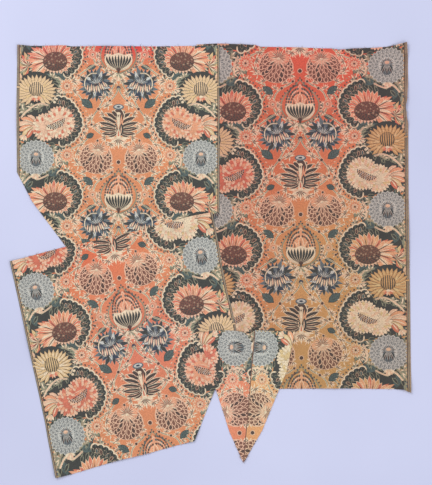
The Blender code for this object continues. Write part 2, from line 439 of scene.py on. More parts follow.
def artichoke(d, across, down):
    """Brown scales with pale edges, under a burst of fine pale rays."""
    d.put(across, down, turn=16)
    d.oval(0, -0.6, 16.8, 15.9, "shell", sides=20)
    d.oval(0, -0.9, 16.0, 15.0, "brown", sides=20)
    for row, (near, far, count, width) in enumerate(
        [(0.74, 1.05, 15, 4.9), (0.54, 0.90, 14, 4.7), (0.36, 0.72, 12, 4.3), (0.18, 0.54, 10, 3.5)]
    ):
        shift = 0.5 * (row % 2)
        for i in range(count):
            angle = -90 + 236 * ((i + shift) / (count - 0.5 + shift) - 0.5)
            a = math.radians(angle)
            reach = star_reach(a)
            x, y = near * reach * math.cos(a), 8.2 + near * reach * math.sin(a)
            dye = "umber" if (i + row) % 3 == 0 else "brown"
            d.edged(x, y, angle, (far - near) * reach, width, dye, "shell", 0.7, belly=0.6, blunt=0.3, joints=2)
    d.oval(0, 9.2, 10.4, 6.2, "peach", sides=12)
    d.fan(0, 7.8, spread(-44, 224, 23), 11.6, 0.8, ["cream", "shell", "shell"], reach=[1, 0.8], joints=1, belly=0.6)
    d.fan(0, 7.8, spread(-162, -18, 11), 8.4, 0.7, ["cream", "shell"], joints=1, belly=0.6)
    d.fan(0, 9.4, spread(-20, 200, 12), 7.6, 0.7, ["umber", "brown"], joints=1, belly=0.5)
    d.oval(0, 7.8, 1.6, 1.3, "cream", sides=7)


def star_reach(a):
    """How far the artichoke's rim is from its star, in the direction a."""
    x, y = math.cos(a) / 15.4, math.sin(a) / 14.4
    offset = (8.2 + 1.3) / 14.4
    b = y * offset
    square = x * x + y * y
    return (-b + math.sqrt(b * b - square * (offset * offset - 1))) / square


def tulip(d, down):
    """A closed bud: dotted outer petals, a flame inside, and a striped cup."""
    d.put(0, down, size=1.1, once=True)
    outer = [
        (0, -15.5), (6, -14.5), (10.5, -11), (13, -5), (12.4, 1), (9.4, 6), (5.4, 9.5), (2.6, 12.5), (0, 17),
        (-2.6, 12.5), (-5.4, 9.5), (-9.4, 6), (-12.4, 1), (-13, -5), (-10.5, -11), (-6, -14.5),
    ]
    frame = curve([(0, 21), (5.5, 14.5), (12.4, 8.4), (16.6, 0.5), (16.2, -7.5), (11, -14.5), (2, -19)], 3)
    whole = frame + [(-x, y) for x, y in frame[:0:-1]]
    d.shape(whole, "sage", (0, -18), (0, 20), 16)
    d.shape([(x * 0.93, y * 0.94) for x, y in whole], "ground", (0, -18), (0, 20), 16)
    for i, (x, y) in enumerate(frame[:-2]):
        for side in (-1, 1):
            d.oval(side * x * 1.06, y * 1.04, 0.8, 0.9, "umber" if i % 2 else "moss", sides=5)
    d.shape(outer, "shell", (0, -15), (0, 16), 13)
    d.shape([(x * 0.9, y * 0.92 - 0.4) for x, y in outer], "peach", (0, -15), (0, 16), 13)
    for x, y, long in ((-4.6, -1, 10), (4.6, -1, 10), (0, 0, 13)):
        d.edged(x, y - 4, 90 - 2.0 * x, long, 5.0, "peach", "cream", 0.55, belly=0.5)
        d.blade(x, y - 3, 90 - 2.0 * x, long * 0.7, 1.1, "umber", belly=0.5, joints=1)
    for side in (-1, 1):
        for ring, (grow, count) in enumerate([(0.99, 12), (0.84, 10), (0.68, 8)]):
            for i in range(count):
                v = i / (count - 1)
                x = side * grow * (12.4 * max(0.0, math.cos(v * 1.45)) ** 0.8)
                y = -4.5 + grow * 20.5 * math.sin(v * 1.45) - (1 - grow) * 2
                d.oval(x, y, 0.95, 1.3, ("umber", "moss", "brown")[(ring + i) % 3], turn=side * 25 * v, sides=5)
    cup = curve([(0, -16.2), (7.4, -14.6), (11.8, -9.6), (12.6, -4.6), (10.8, -0.4)], 3)
    cup += [(5.4, -1.6), (0, 0.4), (-5.4, -1.6)] + [(-x, y) for x, y in cup[:0:-1]]
    d.shape(cup, "cream", (0, -16), (0, 3), 13)
    for f in (-0.93, -0.70, -0.47, -0.235, 0.0, 0.235, 0.47, 0.70, 0.93):
        top = -2.4 - 0.4 * abs(f) + 1.2 * (1 - abs(f))
        left = curve([(1.3 * f, -15.4), (8.2 * f - 0.75, -10.6), (11.2 * f - 1.05, -6.0), (11.4 * f, top)], 3)
        right = curve([(11.4 * f, top), (11.2 * f + 1.05, -6.0), (8.2 * f + 0.75, -10.6), (1.3 * f, -15.4)], 3)
        d.shape(left + right[1:-1], "ink", (1.3 * f, -15), (11.4 * f, top), 2.4)
    d.oval(0, -14.8, 2.2, 1.5, "umber", sides=8)
    d.blade(0, -15.0, -90, 4, 2.4, "umber", belly=0.3, joints=2)


def blue_flower(d, across, down):
    """Ragged navy petals round a blue-grey dome, with pale stripes below it."""
    d.put(across, down, turn=-12, size=1.08)
    d.oval(0, 0, 11.5, 10.5, "ink", sides=12)
    for i in range(24):
        angle = 12 + 15 * i
        long = 16.2 + 2.0 * math.sin(i * 2.4)
        dye = ("navy", "ink", "slate", "ink")[i % 4]
        d.edged(0, 0, angle, long, 4.3, dye, "steel", 0.32, belly=0.84, bend=20, joints=2)
    for i in range(18):
        angle = 5 + 20 * i
        long = 12.6 + 1.8 * math.sin(i * 1.9)
        d.blade(0, 0.5, angle, long, 3.2, ("ink", "slate", "navy", "mist")[i % 4], belly=0.74, bend=-28, joints=2)
    d.line(curve([(-3, 10.0), (3, 10.8), (8.8, 6.5), (10.4, 0), (8, -5)], 3), 1.1, "cream", 0.7)
    for i, angle in enumerate(spread(16, 168, 10)):
        d.blade(-1, 0, angle, 9.0, 2.4, ("navy", "slate", "ink")[i % 3], belly=0.75, bend=8, joints=2)
    d.fan(-1, 0.5, spread(24, 156, 9), 8.0, 0.8, ["steel", "mist"], reach=[1.0, 0.8], belly=0.7, joints=1)
    for i, x in enumerate(spread(-9.4, 8.4, 10)):
        tall = 10.4 - abs(x) * 0.42
        y = 0.6 + 1.4 * (i % 2)
        d.blade(x * 0.86, y, -90 + x * 2.2, tall, 2.5, "navy", blunt=0.6, joints=2)
        d.blade(x * 0.86, y, -90 + x * 2.2, tall - 0.6, 1.6, ("cream", "shell")[i % 2], blunt=0.6, joints=2)
    d.fan(-0.5, 1.0, spread(-150, -30, 5), 3.6, 1.2, ["umber", "navy"], joints=1)


def feather_flower(d, down):
    """Dark plumes that spread round a peach heart with a pale spine."""
    d.put(0, down)
    for y, angle, long, wide, bend in (
        (-9.0, -34, 11, 3.4, 24), (-8.2, -16, 17, 3.8, 16), (-6.0, 0, 20, 4.2, 10), (-3.2, 12, 20, 4.2, 4),
        (0.0, 24, 18, 4.2, 0), (3.4, 38, 14, 4.0, -6), (6.4, 56, 9, 3.4, -6),
    ):
        d.edged(1, y, angle, long, wide + 1.2, "umber", "cream", 0.6, belly=0.5, bend=bend)
        d.blade(3, y + 0.8, angle, long * 0.72, 1.6, "ink", belly=0.6, bend=bend, joints=2)
        d.blade(3, y - 0.3, angle, long * 0.7, 0.8, "shell", belly=0.6, bend=bend, joints=1)
    d.put(0, down, once=True)
    d.blade(0, -1, 90, 19, 13, "cream", belly=0.42)
    d.blade(0, -0.4, 90, 17.4, 11.4, "umber", belly=0.42)
    for x in (-4.4, -2.6, -0.9, 0.9, 2.6, 4.4):
        long = 16.5 - 0.5 * abs(x) ** 1.4
        dye = "cream" if abs(x) < 1 else "peach"
        d.blade(x * 0.5, -5, 90 - 3.2 * x, long, 1.4, dye, belly=0.6, joints=2)
    for side in (-1, 1):
        d.blade(side * 1.4, -13, 90 - side * 22, 14, 4.4, "ink", belly=0.55, bend=side * 26)
        d.blade(side * 1.6, -12, 90 - side * 22, 11, 1.2, "shell", belly=0.5, bend=side * 26, joints=2)
    d.blade(0, -4, 90, -12, 4.4, "cream", belly=0.75, blunt=0.6)
    d.blade(0, -6, 90, -9, 1.6, "rose", belly=0.7, joints=2)
    d.blade(0, -8, 90, 17, 1.4, "cream", belly=0.3, joints=2)
    d.oval(0, 15.8, 2.0, 1.3, "umber", sides=8)


def trefoil(d, down):
    """White drops that hang like a small bell below the plumes."""
    d.put(0, down, once=True)
    d.fan(0, 4.5, spread(-176, -4, 13), 11.5, 2.1, ["cream", "shell", "cream"], reach=[1.0, 0.8], belly=0.75, joints=2)
    d.fan(0, 3, spread(-150, -30, 6), 7.0, 0.9, ["umber"], joints=1)
    d.oval(0, 4.5, 2.4, 1.6, "cream", sides=8)


def lotus(d, across, down, petal):
    """Pale curved petals with dark gaps, round a striped seed head, in straw or tan."""
    d.put(across, down, turn=2)
    d.oval(0, 1, 17.6, 16.4, "ink", sides=16)
    inner = "cream" if petal == "straw" else "straw"
    for i, angle in enumerate(spread(-62, 242, 23)):
        side = math.cos(math.radians(angle))
        high = math.sin(math.radians(angle))
        long = 16.6 + 1.8 * abs(side) + 0.8 * (i % 2)
        bend = 26 * side * (1.0 if high < 0.7 else 0.3)
        x = 2.6 * side
        d.edged(x, -2.6, angle - 0.35 * bend, long, 4.3, petal, "umber", 0.4, belly=0.78, bend=bend, blunt=0.4)
        d.blade(x, -2.6, angle - 0.35 * bend, long * 0.92, 0.9, inner, belly=0.8, bend=bend, joints=2)
    d.fan(0, -3, spread(-50, 230, 17), 12.4, 2.9, [petal, inner], belly=0.8, blunt=0.5, joints=2)
    d.fan(0, -3, spread(-42, 222, 16), 11.4, 0.7, ["umber"], belly=0.8, joints=1)
    d.oval(0, -0.6, 7.8, 8.4, petal, sides=14)
    for x in (-6.3, -4.3, -2.2, 0, 2.2, 4.3, 6.3):
        tall = 7.4 * math.sqrt(1 - (x / 8.2) ** 2)
        run = curve([(x * 0.84, -0.6 - tall), (x * 1.04, -0.6), (x * 0.84, -0.6 + tall)], 3)
        d.line(run, 1.05, "ink", 0.8)
    d.fan(0, -7.6, spread(-160, -20, 6), 6.2, 2.0, ["peach", "rose", "shell"], joints=2)
    d.oval(0, -8.4, 2.0, 1.4, "cream", sides=8)


def heart_flower(d, across, down, fill):
    """A big two-lobed bloom of small ruffled petals, with a speckled middle."""
    d.put(across, down, turn=-4)
    pale = "shell" if fill in ("cream", "peach", "rose") else "cream"
    ray = {"cream": "straw", "rose": "peach", "straw": "cream"}.get(fill, "rose")
    edge = {"cream": "cream", "straw": "cream"}.get(fill, "shell")
    for x, y, rx, ry, count, first in ((9.4, -2.6, 9.4, 10.6, 24, 8), (-5.6, 1.2, 12.0, 12.9, 30, 0)):
        d.ring(x, y, rx, ry, count, 4.2, 3.4, edge, "umber", first=first, rim=0.22, belly=0.5, blunt=0.2, joints=1)
        d.oval(x, y, rx + 1.2, ry + 1.2, fill, sides=18)
        for inner, long, wide, shift in ((0.80, 5.0, 3.0, 0), (0.56, 4.8, 2.6, 7)):
            number = round(count * (0.55 + 0.3 * inner))
            for i in range(number):
                a = math.tau * i / number + math.radians(shift)
                px, py = x + rx * inner * math.cos(a), y + ry * inner * math.sin(a)
                dye = (fill, pale, ray, pale)[(i + int(shift)) % 4]
                d.blade(px, py, math.degrees(a) + 14, long + math.sin(i * 2.1), wide, dye, belly=0.6, joints=2)
    d.fan(-9, 6, spread(-78, -10, 7), 13, 1.0, [pale, ray], joints=1)
    upper = curve([(-12.4, 4.9), (-6.4, 2.6), (0.6, -0.6), (8.2, -2.4)], 3)
    lower = curve([(8.0, -5.6), (1.6, -5.4), (-4.2, -3.6), (-9.4, 0.6), (-11.5, 4.6)], 3)
    d.shape(upper + lower, pale, (-10, 3), (8, -4), 12)
    for down, share in ((0.0, 1.0), (-2.0, 0.93), (-3.9, 0.78), (-5.6, 0.56)):
        count = round(11 * share)
        for i in range(count):
            v = (i + 0.5) / count - 0.5
            x = -1.6 + 19.4 * v * share + 0.3 * down
            y = 1.4 - 6.6 * v * share + 0.82 * down - 1.4 * (0.25 - v * v)
            d.oval(x, y, 0.72, 1.02, "umber" if (i + round(down)) % 3 else "slate", turn=-18, sides=5)


def side_bud(d, across, down):
    """Peach petals that lean out beside the heart flower."""
    d.put(across, down)
    for x, y, angle, long, wide, dye, bend in (
        (-8, 4, 62, 13, 6.0, "shell", -30), (-7, 4, 38, 16, 6.4, "peach", -30), (-6, 3, 16, 18, 6.4, "shell", -26),
        (-6, 2, -6, 18, 6.0, "peach", -20), (-6, 1, -26, 16, 5.6, "straw", -16), (-6, 0, -48, 14, 5.4, "rose", -10),
    ):
        d.edged(x, y, angle, long, wide, dye, "umber", 0.4, belly=0.58, bend=bend, blunt=0.3)
        d.blade(x + 1, y, angle, long * 0.8, 1.1, "cream", belly=0.6, bend=bend, joints=2)
    d.fan(4, -7, spread(-110, -30, 4), 7, 2.6, ["cream", "shell"], belly=0.6, joints=2)


def dahlia(d, across, down):
    """Rings of small grey petals with pale scalloped edges, round a striped heart."""
    d.put(across, down)
    d.oval(0, 0, 17.0, 16.2, "slate", sides=18)
    for number, (rx, ry, count, long, wide) in enumerate((
        (13.8, 13.0, 24, 5.0, 4.4), (11.2, 10.6, 22, 4.8, 4.0), (8.6, 8.1, 19, 4.6, 3.6), (6.2, 5.8, 15, 4.2, 3.2),
        (3.9, 3.7, 11, 3.6, 2.7),
    )):
        more = {"rim": 0.62, "belly": 0.6, "blunt": 0.6, "joints": 2}
        d.ring(0, 0, rx, ry, count, long, wide, "steel", "mist", first=number * 9, **more)
    d.ring(0, 0, 13.8, 13.0, 24, 3.2, 0.8, "slate", joints=1)
    d.ring(0, 0, 8.6, 8.1, 19, 3.0, 0.8, "slate", first=18, joints=1)
    d.oval(0, 0.4, 8.2, 8.4, "mist", sides=14)
    d.fan(0, 1.6, spread(-12, 192, 15), 7.6, 1.35, ["umber", "slate"], belly=0.8, blunt=0.5, joints=1)
    d.oval(0, -2.6, 5.6, 6.4, "slate", sides=12)
    d.fan(0, 4.6, spread(-122, -58, 7), 13.2, 1.7, ["ink", "umber"], reach=[0.9, 1.0], belly=0.6, joints=2)
    d.fan(0, 4.6, spread(-116, -64, 6), 12.4, 0.6, ["mist"], belly=0.7, joints=1)
    d.oval(0, 2.6, 3.9, 3.0, "steel", sides=10)
    d.oval(0, 3.4, 2.3, 1.7, "shell", sides=9)


def sunflower(d, across, down):
    """A dark seed disc with striped petals that lean up and outwards."""
    d.put(across, down)
    d.fan(
        3, 1, [46, 38, 30, 22, 14, 6, -2, -10, -18, -26, -34, -44], 25, 4.6, ["rose", "peach", "cream", "peach"],
        reach=[0.86, 1.0, 0.94, 1.06, 0.98, 1.08], belly=0.66, bend=-10,
    )
    d.fan(5, 1, spread(44, -42, 12), 20, 0.9, ["cream", "umber", "shell"], belly=0.6, bend=-10, joints=2)
    for i, angle in enumerate(spread(40, 244, 19)):
        a = math.radians(angle)
        x, y = 8.4 * math.cos(a), 6.0 * math.sin(a)
        long = 9.8 + 6.6 * max(0.0, math.sin(a)) ** 1.2 - 2.6 * max(0.0, -math.sin(a)) - (1.4 if i % 2 else 0)
        dye = ("peach", "rose", "glow")[i % 3]
        d.blade(x, y, angle + 4, long * 0.9, 2.4, "umber", belly=0.8, bend=14, joints=2)
        d.edged(x, y, angle - 5, long, 4.2, dye, "cream", 0.42, belly=0.7, bend=14)
        d.blade(x * 1.3, y * 1.3, angle - 5, long * 0.6, 0.8, ("cream", "umber")[i % 2], belly=0.6, bend=12, joints=1)
    for angle in spread(-128, -40, 7):
        a = math.radians(angle)
        d.edged(9.6 * math.cos(a), 7.2 * math.sin(a), angle, 5.4, 3.6, "shell", "umber", 0.35, belly=0.6, joints=1)
    d.oval(0, 0, 12.3, 9.5, "umber", sides=18)
    d.oval(0, 0.2, 11.7, 8.9, "plum", sides=18)
    for ring, count, shift in ((0.90, 24, 0), (0.74, 20, 9), (0.56, 15, 0), (0.38, 10, 5), (0.18, 5, 20)):
        for i in range(count):
            a = math.tau * i / count + math.radians(shift)
            low = math.sin(a) < -0.1 and ring > 0.3
            dye = "ink" if low and i % 2 else "bark" if (5 * i + count) % 7 < 2 else "umber"
            wide = 1.05 if low else 0.75
            d.oval(11.4 * ring * math.cos(a), 8.6 * ring * math.sin(a), wide, 0.8, dye, sides=5)


def outer_bloom(d, across, down):
    """Red, straw and olive petals that fill the corner beside the sunflower."""
    d.put(across, down)
    d.fan(
        2, 2, spread(-70, 130, 13), 14, 3.4, ["rose", "straw", "sage", "shell"], reach=[1.0, 0.8, 0.9], belly=0.62,
        bend=-14,
    )
    d.fan(2, 2, spread(-62, 122, 12), 10, 0.9, ["umber", "cream"], joints=1)
    d.fan(9, 13, spread(-60, 90, 6), 9, 2.8, ["straw", "sage"], belly=0.6, joints=2)
    d.fan(8, -12, spread(-70, 60, 5), 8, 2.8, ["shell", "straw"], belly=0.6, joints=2)


def daisy(d, across, down, size=1.0):
    """A small pink flower in fine pale outline."""
    d.put(across, down, size=size)
    d.ring(0, 0, 2.2, 2.1, 14, 5.6, 2.5, "glow", "cream", rim=0.4, belly=0.7, blunt=0.4, joints=2)
    d.ring(0, 0, 1.4, 1.4, 14, 4.2, 0.8, "rose", first=13, joints=1)
    d.ring(0, 0, 0.6, 0.6, 9, 3.2, 1.3, "shell", "cream", first=20, rim=0.3, belly=0.6, joints=1)
    d.oval(0, 0, 1.1, 1.0, "umber", sides=7)


def leaf(d, across, down, angle, length, width, fill="moss", edge="ink"):
    """A single leaf with a dark edge and fine side veins."""
    d.put(across, down)
    a = math.radians(angle)
    x, y = -length / 2 * math.cos(a), -length / 2 * math.sin(a)
    d.edged(x, y, angle, length, width, fill, edge, 0.6, belly=0.5)
    for v in (0.3, 0.45, 0.6):
        for side in (-1, 1):
            d.blade(
                x + v * length * math.cos(a), y + v * length * math.sin(a), angle + side * 42, width * 0.5, 0.7,
                edge, joints=1,
            )


def bead(d, across, down, radius=1.5, fill="umber"):
    """A small round berry on a stem."""
    d.put(across, down)
    d.oval(0, 0, radius + 0.5, radius + 0.5, "shell", sides=8)
    d.oval(0, 0, radius, radius, fill, sides=7)


def scalloped_border(d, points):
    """Dark teeth with pale edges, a twisted pale cord round them, and dotted lines outside."""
    d.put(0, 0)
    run = [(x, -y) for x, y in curve(points, 6)]
    lengths = [0.0]
    for (x1, y1), (x2, y2) in zip(run, run[1:]):
        lengths.append(lengths[-1] + math.hypot(x2 - x1, y2 - y1))

    def along(distance, offset):
        i = 1
        while i < len(lengths) - 1 and lengths[i] < distance:
            i += 1
        u = (distance - lengths[i - 1]) / (lengths[i] - lengths[i - 1])
        (x1, y1), (x2, y2) = run[i - 1], run[i]
        long = math.hypot(x2 - x1, y2 - y1)
        nx, ny = (y2 - y1) / long, -(x2 - x1) / long
        if nx > 0:
            nx, ny = -nx, -ny
        return x1 + (x2 - x1) * u + nx * offset, y1 + (y2 - y1) * u + ny * offset, math.degrees(math.atan2(ny, nx))

    total = lengths[-1]
    lobes = int(total / 5.2)
    spots = [along((i + 0.5) * total / lobes, -1.4) for i in range(lobes)]
    for x, y, out in spots:
        for k in range(5):
            a = math.radians(out - 66 + 33 * k)
            d.oval(x + 6.1 * math.cos(a), y + 6.1 * math.sin(a), 0.85, 0.95, "umber" if k % 2 else "moss", sides=5)
    for x, y, out in spots:
        d.oval(x, y, 4.7, 4.7, "bark", sides=11)
    for x, y, out in spots:
        d.oval(x, y, 4.4, 4.4, "cream", sides=11)
    for x, y, out in spots:
        d.oval(x, y, 3.2, 3.2, "ink", sides=10)
    d.line([along(total * i / 24, -2.6)[:2] for i in range(25)], 5.6, "ink")
    for x, y, out in spots:
        d.blade(x, y, out + 10, 3.4, 0.9, "moss", joints=1)
        d.blade(x + 1.2, y - 1.4, out - 40, 2.6, 0.7, "bark", joints=1)
    for i in range(int(total / 3.3)):
        x, y, out = along((i + 0.5) * 3.3, -6.4 - 0.8 * (i % 2))
        dye = ("ink", "moss", "ink", "umber")[i % 4]
        d.edged(x, y, out - 26 + 18 * (i % 3), 5.8, 3.0, dye, ("sage", "shell")[i % 2], 0.3, belly=0.6, joints=2)
    for i in range(int(total / 2.6)):
        x, y, out = along((i + 0.5) * 2.6, 7.0)
        d.blade(x, y, out + 30, 2.4, 1.1, "cream" if i % 2 else "sage", joints=1)


def stem(d, points, width=1.5, core="sage"):
    """A pale stem with a green core."""
    d.put(0, 0)
    run = [(x, -y) for x, y in curve(points, 4)]
    d.line(run, width, "cream")
    d.line(run, width * 0.5, core)


def sprig(d, across, down, angle, size=1.0, dyes=("cream", "shell", "umber")):
    """A spray of fine pale leaves on a curled stalk."""
    d.put(across, down, size=size * 1.25)
    for i, turn in enumerate(spread(-76, 76, 7)):
        long = 6.6 if i % 2 else 5.2
        d.blade(0, 0, angle + turn, long, 1.5, dyes[i % 2], joints=1, bend=12 if turn > 0 else -12)
    d.fan(0, 0, spread(angle - 60, angle + 60, 4), 3.6, 0.8, [dyes[2]], joints=1)
    d.blade(0, 0, angle + 180, 4.4, 1.2, dyes[0], joints=1, bend=24)


def background(d):
    """Dark leaves and shadow behind the flowers of the side column."""
    d.put(0, 0)
    d.behind = True
    dark = [
        [
            (50, -56), (58, -64), (64, -80), (102, -86), (106, -10), (98, -18), (84, -18), (70, -14), (58, -13),
            (48, -18), (41, -34), (44, -46),
        ],
        [
            (52, 18), (60, 15.5), (70, 13), (84, 18), (98, 17), (106, 10), (106, 60), (60, 62), (50, 54), (41, 36),
            (45, 24),
        ],
    ]
    for outline in dark:
        d.shape([(x, -y) for x, y in outline], "ink")
    d.oval(84, 0, 19, 18.4, "ink", sides=18)
    for across, down, angle, long, wide, fill in (
        (60, -86, 60, 28, 13, "moss"), (63, -60, 24, 20, 9, "moss"), (96, -51, 58, 18, 9, "sage"),
        (62, -8, 8, 22, 9, "moss"), (66, 14, 12, 26, 11, "moss"), (97, 20, 62, 18, 9, "sage"),
        (90, 27, 80, 14, 8, "moss"), (98, 54, 20, 18, 10, "moss"), (66, 62, 30, 24, 11, "moss"),
        (94, -20, 40, 16, 9, "moss"), (58, -74, 72, 18, 9, "sage"), (98, -88, 40, 16, 8, "moss"),
        (76, 61, -12, 20, 8, "moss"), (98, 31, 84, 13, 7, "slate"), (54, 2, 60, 14, 7, "sage"),
        (60, 4, 80, 16, 8, "moss"), (104, -4, 80, 14, 6, "umber"), (102, -40, 70, 18, 8, "rose"),
    ):
        leaf(d, across, down, angle, long, wide, fill)
    for across, down, first, last, count, far in (
        (64, -33, 60, 300, 17, 21), (64, 44, 60, 300, 17, 19), (83, -69, 20, 340, 15, 18), (82, 0, 30, 330, 13, 17),
        (88, 46, -80, 80, 9, 16), (92, -34, -80, 80, 9, 14),
    ):
        for angle in spread(first, last, count):
            a = math.radians(angle)
            d.put(across + far * math.cos(a), down - far * math.sin(a))
            d.edged(0, 0, angle + 30, 8.5, 3.4, "ink", "sage", 0.55, belly=0.6, bend=30, joints=2)
    for across, down, angle in (
        (57, -63, 100), (72, -56, 40), (78, -13, -80), (52, 14, 130), (66, 12, 80), (52, 56, 220), (90, 10, -60),
        (100, -58, 60), (66, -80, 120), (98, -12, -60), (100, 14, 30), (84, 60, -100), (78, -50, 60), (86, -50, 20),
        (93, -46, 0), (96, -56, -40), (72, 15, 60), (92, 19, 40), (98, 26, 60), (96, 17, 20), (102, -90, -60),
        (84, -90, -90), (66, -92, -120), (100, -30, 0), (66, -8, 200), (64, 6, 160), (103, 8, 60), (103, -6, -60),
    ):
        sprig(d, across, down, angle, 0.85, ("sage", "cream", "bark"))
    d.behind = False


def selvedge(d):
    """The plain striped edge of the loom width."""
    d.put(0, 0)
    for near, far, dye in ((98.8, 99.6, "umber"), (99.6, 108.0, "bark"), (100.5, 101.0, "moss")):
        for k in range(7):
            top = -70 + 20 * k
            d.shape([(near, -top), (far, -top), (far, -top - 20), (near, -top - 20)], dye)
    for k in range(35):
        d.oval(98.3, 68 - 4 * k, 0.5, 0.9, "straw", sides=5)


def half_repeat(petal, heart_fill):
    """One half of one repeat, from above the artichoke row to below it."""
    d = Draft()
    background(d)
    for run in (
        [(0, -69.7), (3, -63), (9, -56.5), (20, -48.6)],
        [(20, -48.6), (25, -42), (27, -35), (24, -29), (18, -24)],
        [(5, 13), (11, 18), (17.4, 21.4), (23, 27), (25.7, 36)],
        [(25.7, 36), (24, 44), (18, 49.2), (9, 56), (2, 64)],
        [(28, 26), (33, 28), (36, 34)],
        [(28.5, -22), (34, -16), (40, -12), (47, -9)],
        [(3, 64), (7, 72), (14, 80), (20, 91)],
        [(31, -52), (38, -60), (44, -68)],
        [(30, 25), (34, 18), (42, 14)],
        [(24, -93), (32, -88), (40, -82), (45, -76)],
    ):
        stem(d, run, 1.6)
    for across, down, radius in (
        (20, -48.6, 1.5), (8.5, -57, 1.2), (17.4, 21.4, 1.4), (6.8, 14.7, 1.3), (18, 49.2, 1.5), (12, -14, 1.3),
        (12.5, 57, 1.1), (26, -42, 1.1), (33, 44, 1.2), (40, -82, 1.2), (21, -17, 1.2), (31, 39, 1.0),
        (27, -33, 1.3),
    ):
        bead(d, across, down, radius)
    for across, down, angle, size in (
        (28, -38, 40, 0.9), (31, -31, -10, 0.8), (24, -33, -120, 0.8), (33, -24, 20, 0.7), (36, -18, 30, 0.7),
        (11, -51, 60, 0.8), (15, -44, -30, 0.8), (9, -64, 200, 0.8), (14, -60, 20, 0.8), (4, -76, 80, 0.7),
        (27, 30, 30, 0.7), (22, 38, 180, 0.7), (22, 44, 220, 0.7), (13, 53, 200, 0.8), (21, 54, -60, 0.6),
        (14, 17, 80, 0.7), (24, 22, 120, 0.7), (36, 24, 60, 0.7), (40, 8, 90, 0.9), (43, 4, 150, 0.9),
        (42, -6, 200, 0.9), (45, -66, 150, 1.0), (46, -77, 200, 1.0), (56, -68, 20, 0.9), (58, -2, 20, 0.9),
        (56, 4, -30, 0.8), (8, 8, -60, 0.8), (7, -14, -60, 0.9), (13, -20, 0, 0.9), (3, 64, 40, 0.8),
        (6, 58, 60, 0.9), (38, 60, 220, 0.9), (44, 64, 250, 0.9), (35, 84, 200, 0.8), (10, 88, 80, 0.8),
        (38, -14, -100, 0.8), (34, 15, 60, 0.8), (18, -30, 10, 0.7),
    ):
        sprig(d, across, down, angle, size)
    for across, down, angle, long, wide in (
        (31.5, -54.0, 38, 15, 8.4), (30.5, 23.4, 38, 13, 7.6), (28.5, -22, -25, 9, 6.0), (27, 49.7, -12, 10, 5.4),
    ):
        leaf(d, across, down, angle, long, wide, "moss", "ink")
    scalloped_border(d, [(62.8, -60), (52, -58), (43, -49), (37.4, -35), (41.5, -23), (49, -15.5), (58, -12.4)])
    scalloped_border(d, [(60, 14.6), (51.5, 17), (43, 24), (38, 35), (39.4, 45), (45, 53), (52.5, 59)])
    side_bud(d, 90, -30)
    heart_flower(d, 64.3, -33.6, heart_fill)
    outer_bloom(d, 88, 50)
    sunflower(d, 63.4, 44)
    for across, down in ((62, -58.5), (66, -57.6), (64, -55.4)):
        d.put(across, down)
        d.oval(0, 0, 1.5, 1.3, "cream", sides=7)
    lotus(d, 82.3, -69, petal)
    for run in (
        [(70, 17), (76, 20), (82, 21.5), (88, 19), (95, 26)],
        [(70, -52), (77, -54), (84, -52), (92, -46), (97, -40)],
        [(60, 60), (56, 66), (56, 76)],
        [(58, -8), (62, -2), (62, 8)],
    ):
        stem(d, run, 1.6, "shell")
    dahlia(d, 82.5, 0)
    d.put(83, 20)
    d.fan(0, 4, spread(-150, -30, 5), 6, 2.4, ["cream", "shell"], belly=0.6, joints=2)
    daisy(d, 51.5, -71.6)
    daisy(d, 51.5, -2.6)
    daisy(d, 26, 37, 0.6)
    daisy(d, 47, 84, 0.55)
    blue_flower(d, 22.5, 67)
    artichoke(d, 22.4, 0)
    feather_flower(d, -33.8)
    trefoil(d, -15.5)
    tulip(d, 35.5)
    d.put(0, 61, once=True)
    d.fan(0, 5, spread(-155, -25, 5), 8, 2.2, ["cream", "sage"], belly=0.6, joints=2)
    d.put(0, 70.3, once=True)
    d.ring(0, 0, 1.8, 1.8, 10, 2.6, 1.6, "straw", "umber", rim=0.25, joints=1)
    d.oval(0, 0, 2.1, 2.1, "navy", sides=8)
    d.put(0, -50.6, once=True)
    d.oval(0, 0, 5.6, 3.0, "slate", sides=12)
    d.oval(0, 0.2, 4.2, 1.9, "mist", sides=10)
    d.oval(0, 0.2, 2.0, 0.9, "navy", sides=8)
    d.put(0, 4.5, once=True)
    d.oval(0, 0, 2.6, 2.6, "shell", sides=9)
    d.oval(0, 0, 1.9, 1.9, "umber", sides=8)
    d.put(0, -44, once=True)
    d.oval(0, 0, 2.2, 1.6, "cream", sides=8)
    selvedge(d)
    return d.shapes


# How each cut's pattern is stretched across and down, and which repeats reach it.
Weave = namedtuple("Weave", "across down first last")
WEAVES = {
    "right_panel": Weave(1.055, 1.025, 0, 2),
    "upper_left_panel": Weave(1.0, 1.0, -1, 1),
    "lower_left_panel": Weave(1.025, 1.057, -1, 1),
    "gore_left": Weave(1.04, 1.0, -1, 1),
    "gore_right": Weave(1.04, 1.0, -1, 1),
}

# The colours of the lotus and the heart flower, by cut, side and repeat.
Bloom = namedtuple("Bloom", "lotus heart")
PLAIN_BLOOM = Bloom("tan", "peach")
BLOOMS = {
    ("right_panel", -1, 1): Bloom("tan", "rose"),
    ("right_panel", 1, 1): Bloom("ochre", "cream"),
    ("right_panel", -1, 2): Bloom("ochre", "cream"),
    ("right_panel", 1, 2): Bloom("ochre", "cream"),
    ("upper_left_panel", -1, 0): Bloom("tan", "shell"),
    ("lower_left_panel", 1, -1): Bloom("tan", "cream"),
    ("lower_left_panel", 1, 0): Bloom("tan", "cream"),
    ("lower_left_panel", -1, 0): Bloom("tan", "rose"),
    ("lower_left_panel", -1, 1): Bloom("straw", "rose"),
    ("gore_left", 1, 0): Bloom("tan", "rose"),
    ("gore_right", -1, 0): Bloom("straw", "straw"),
}

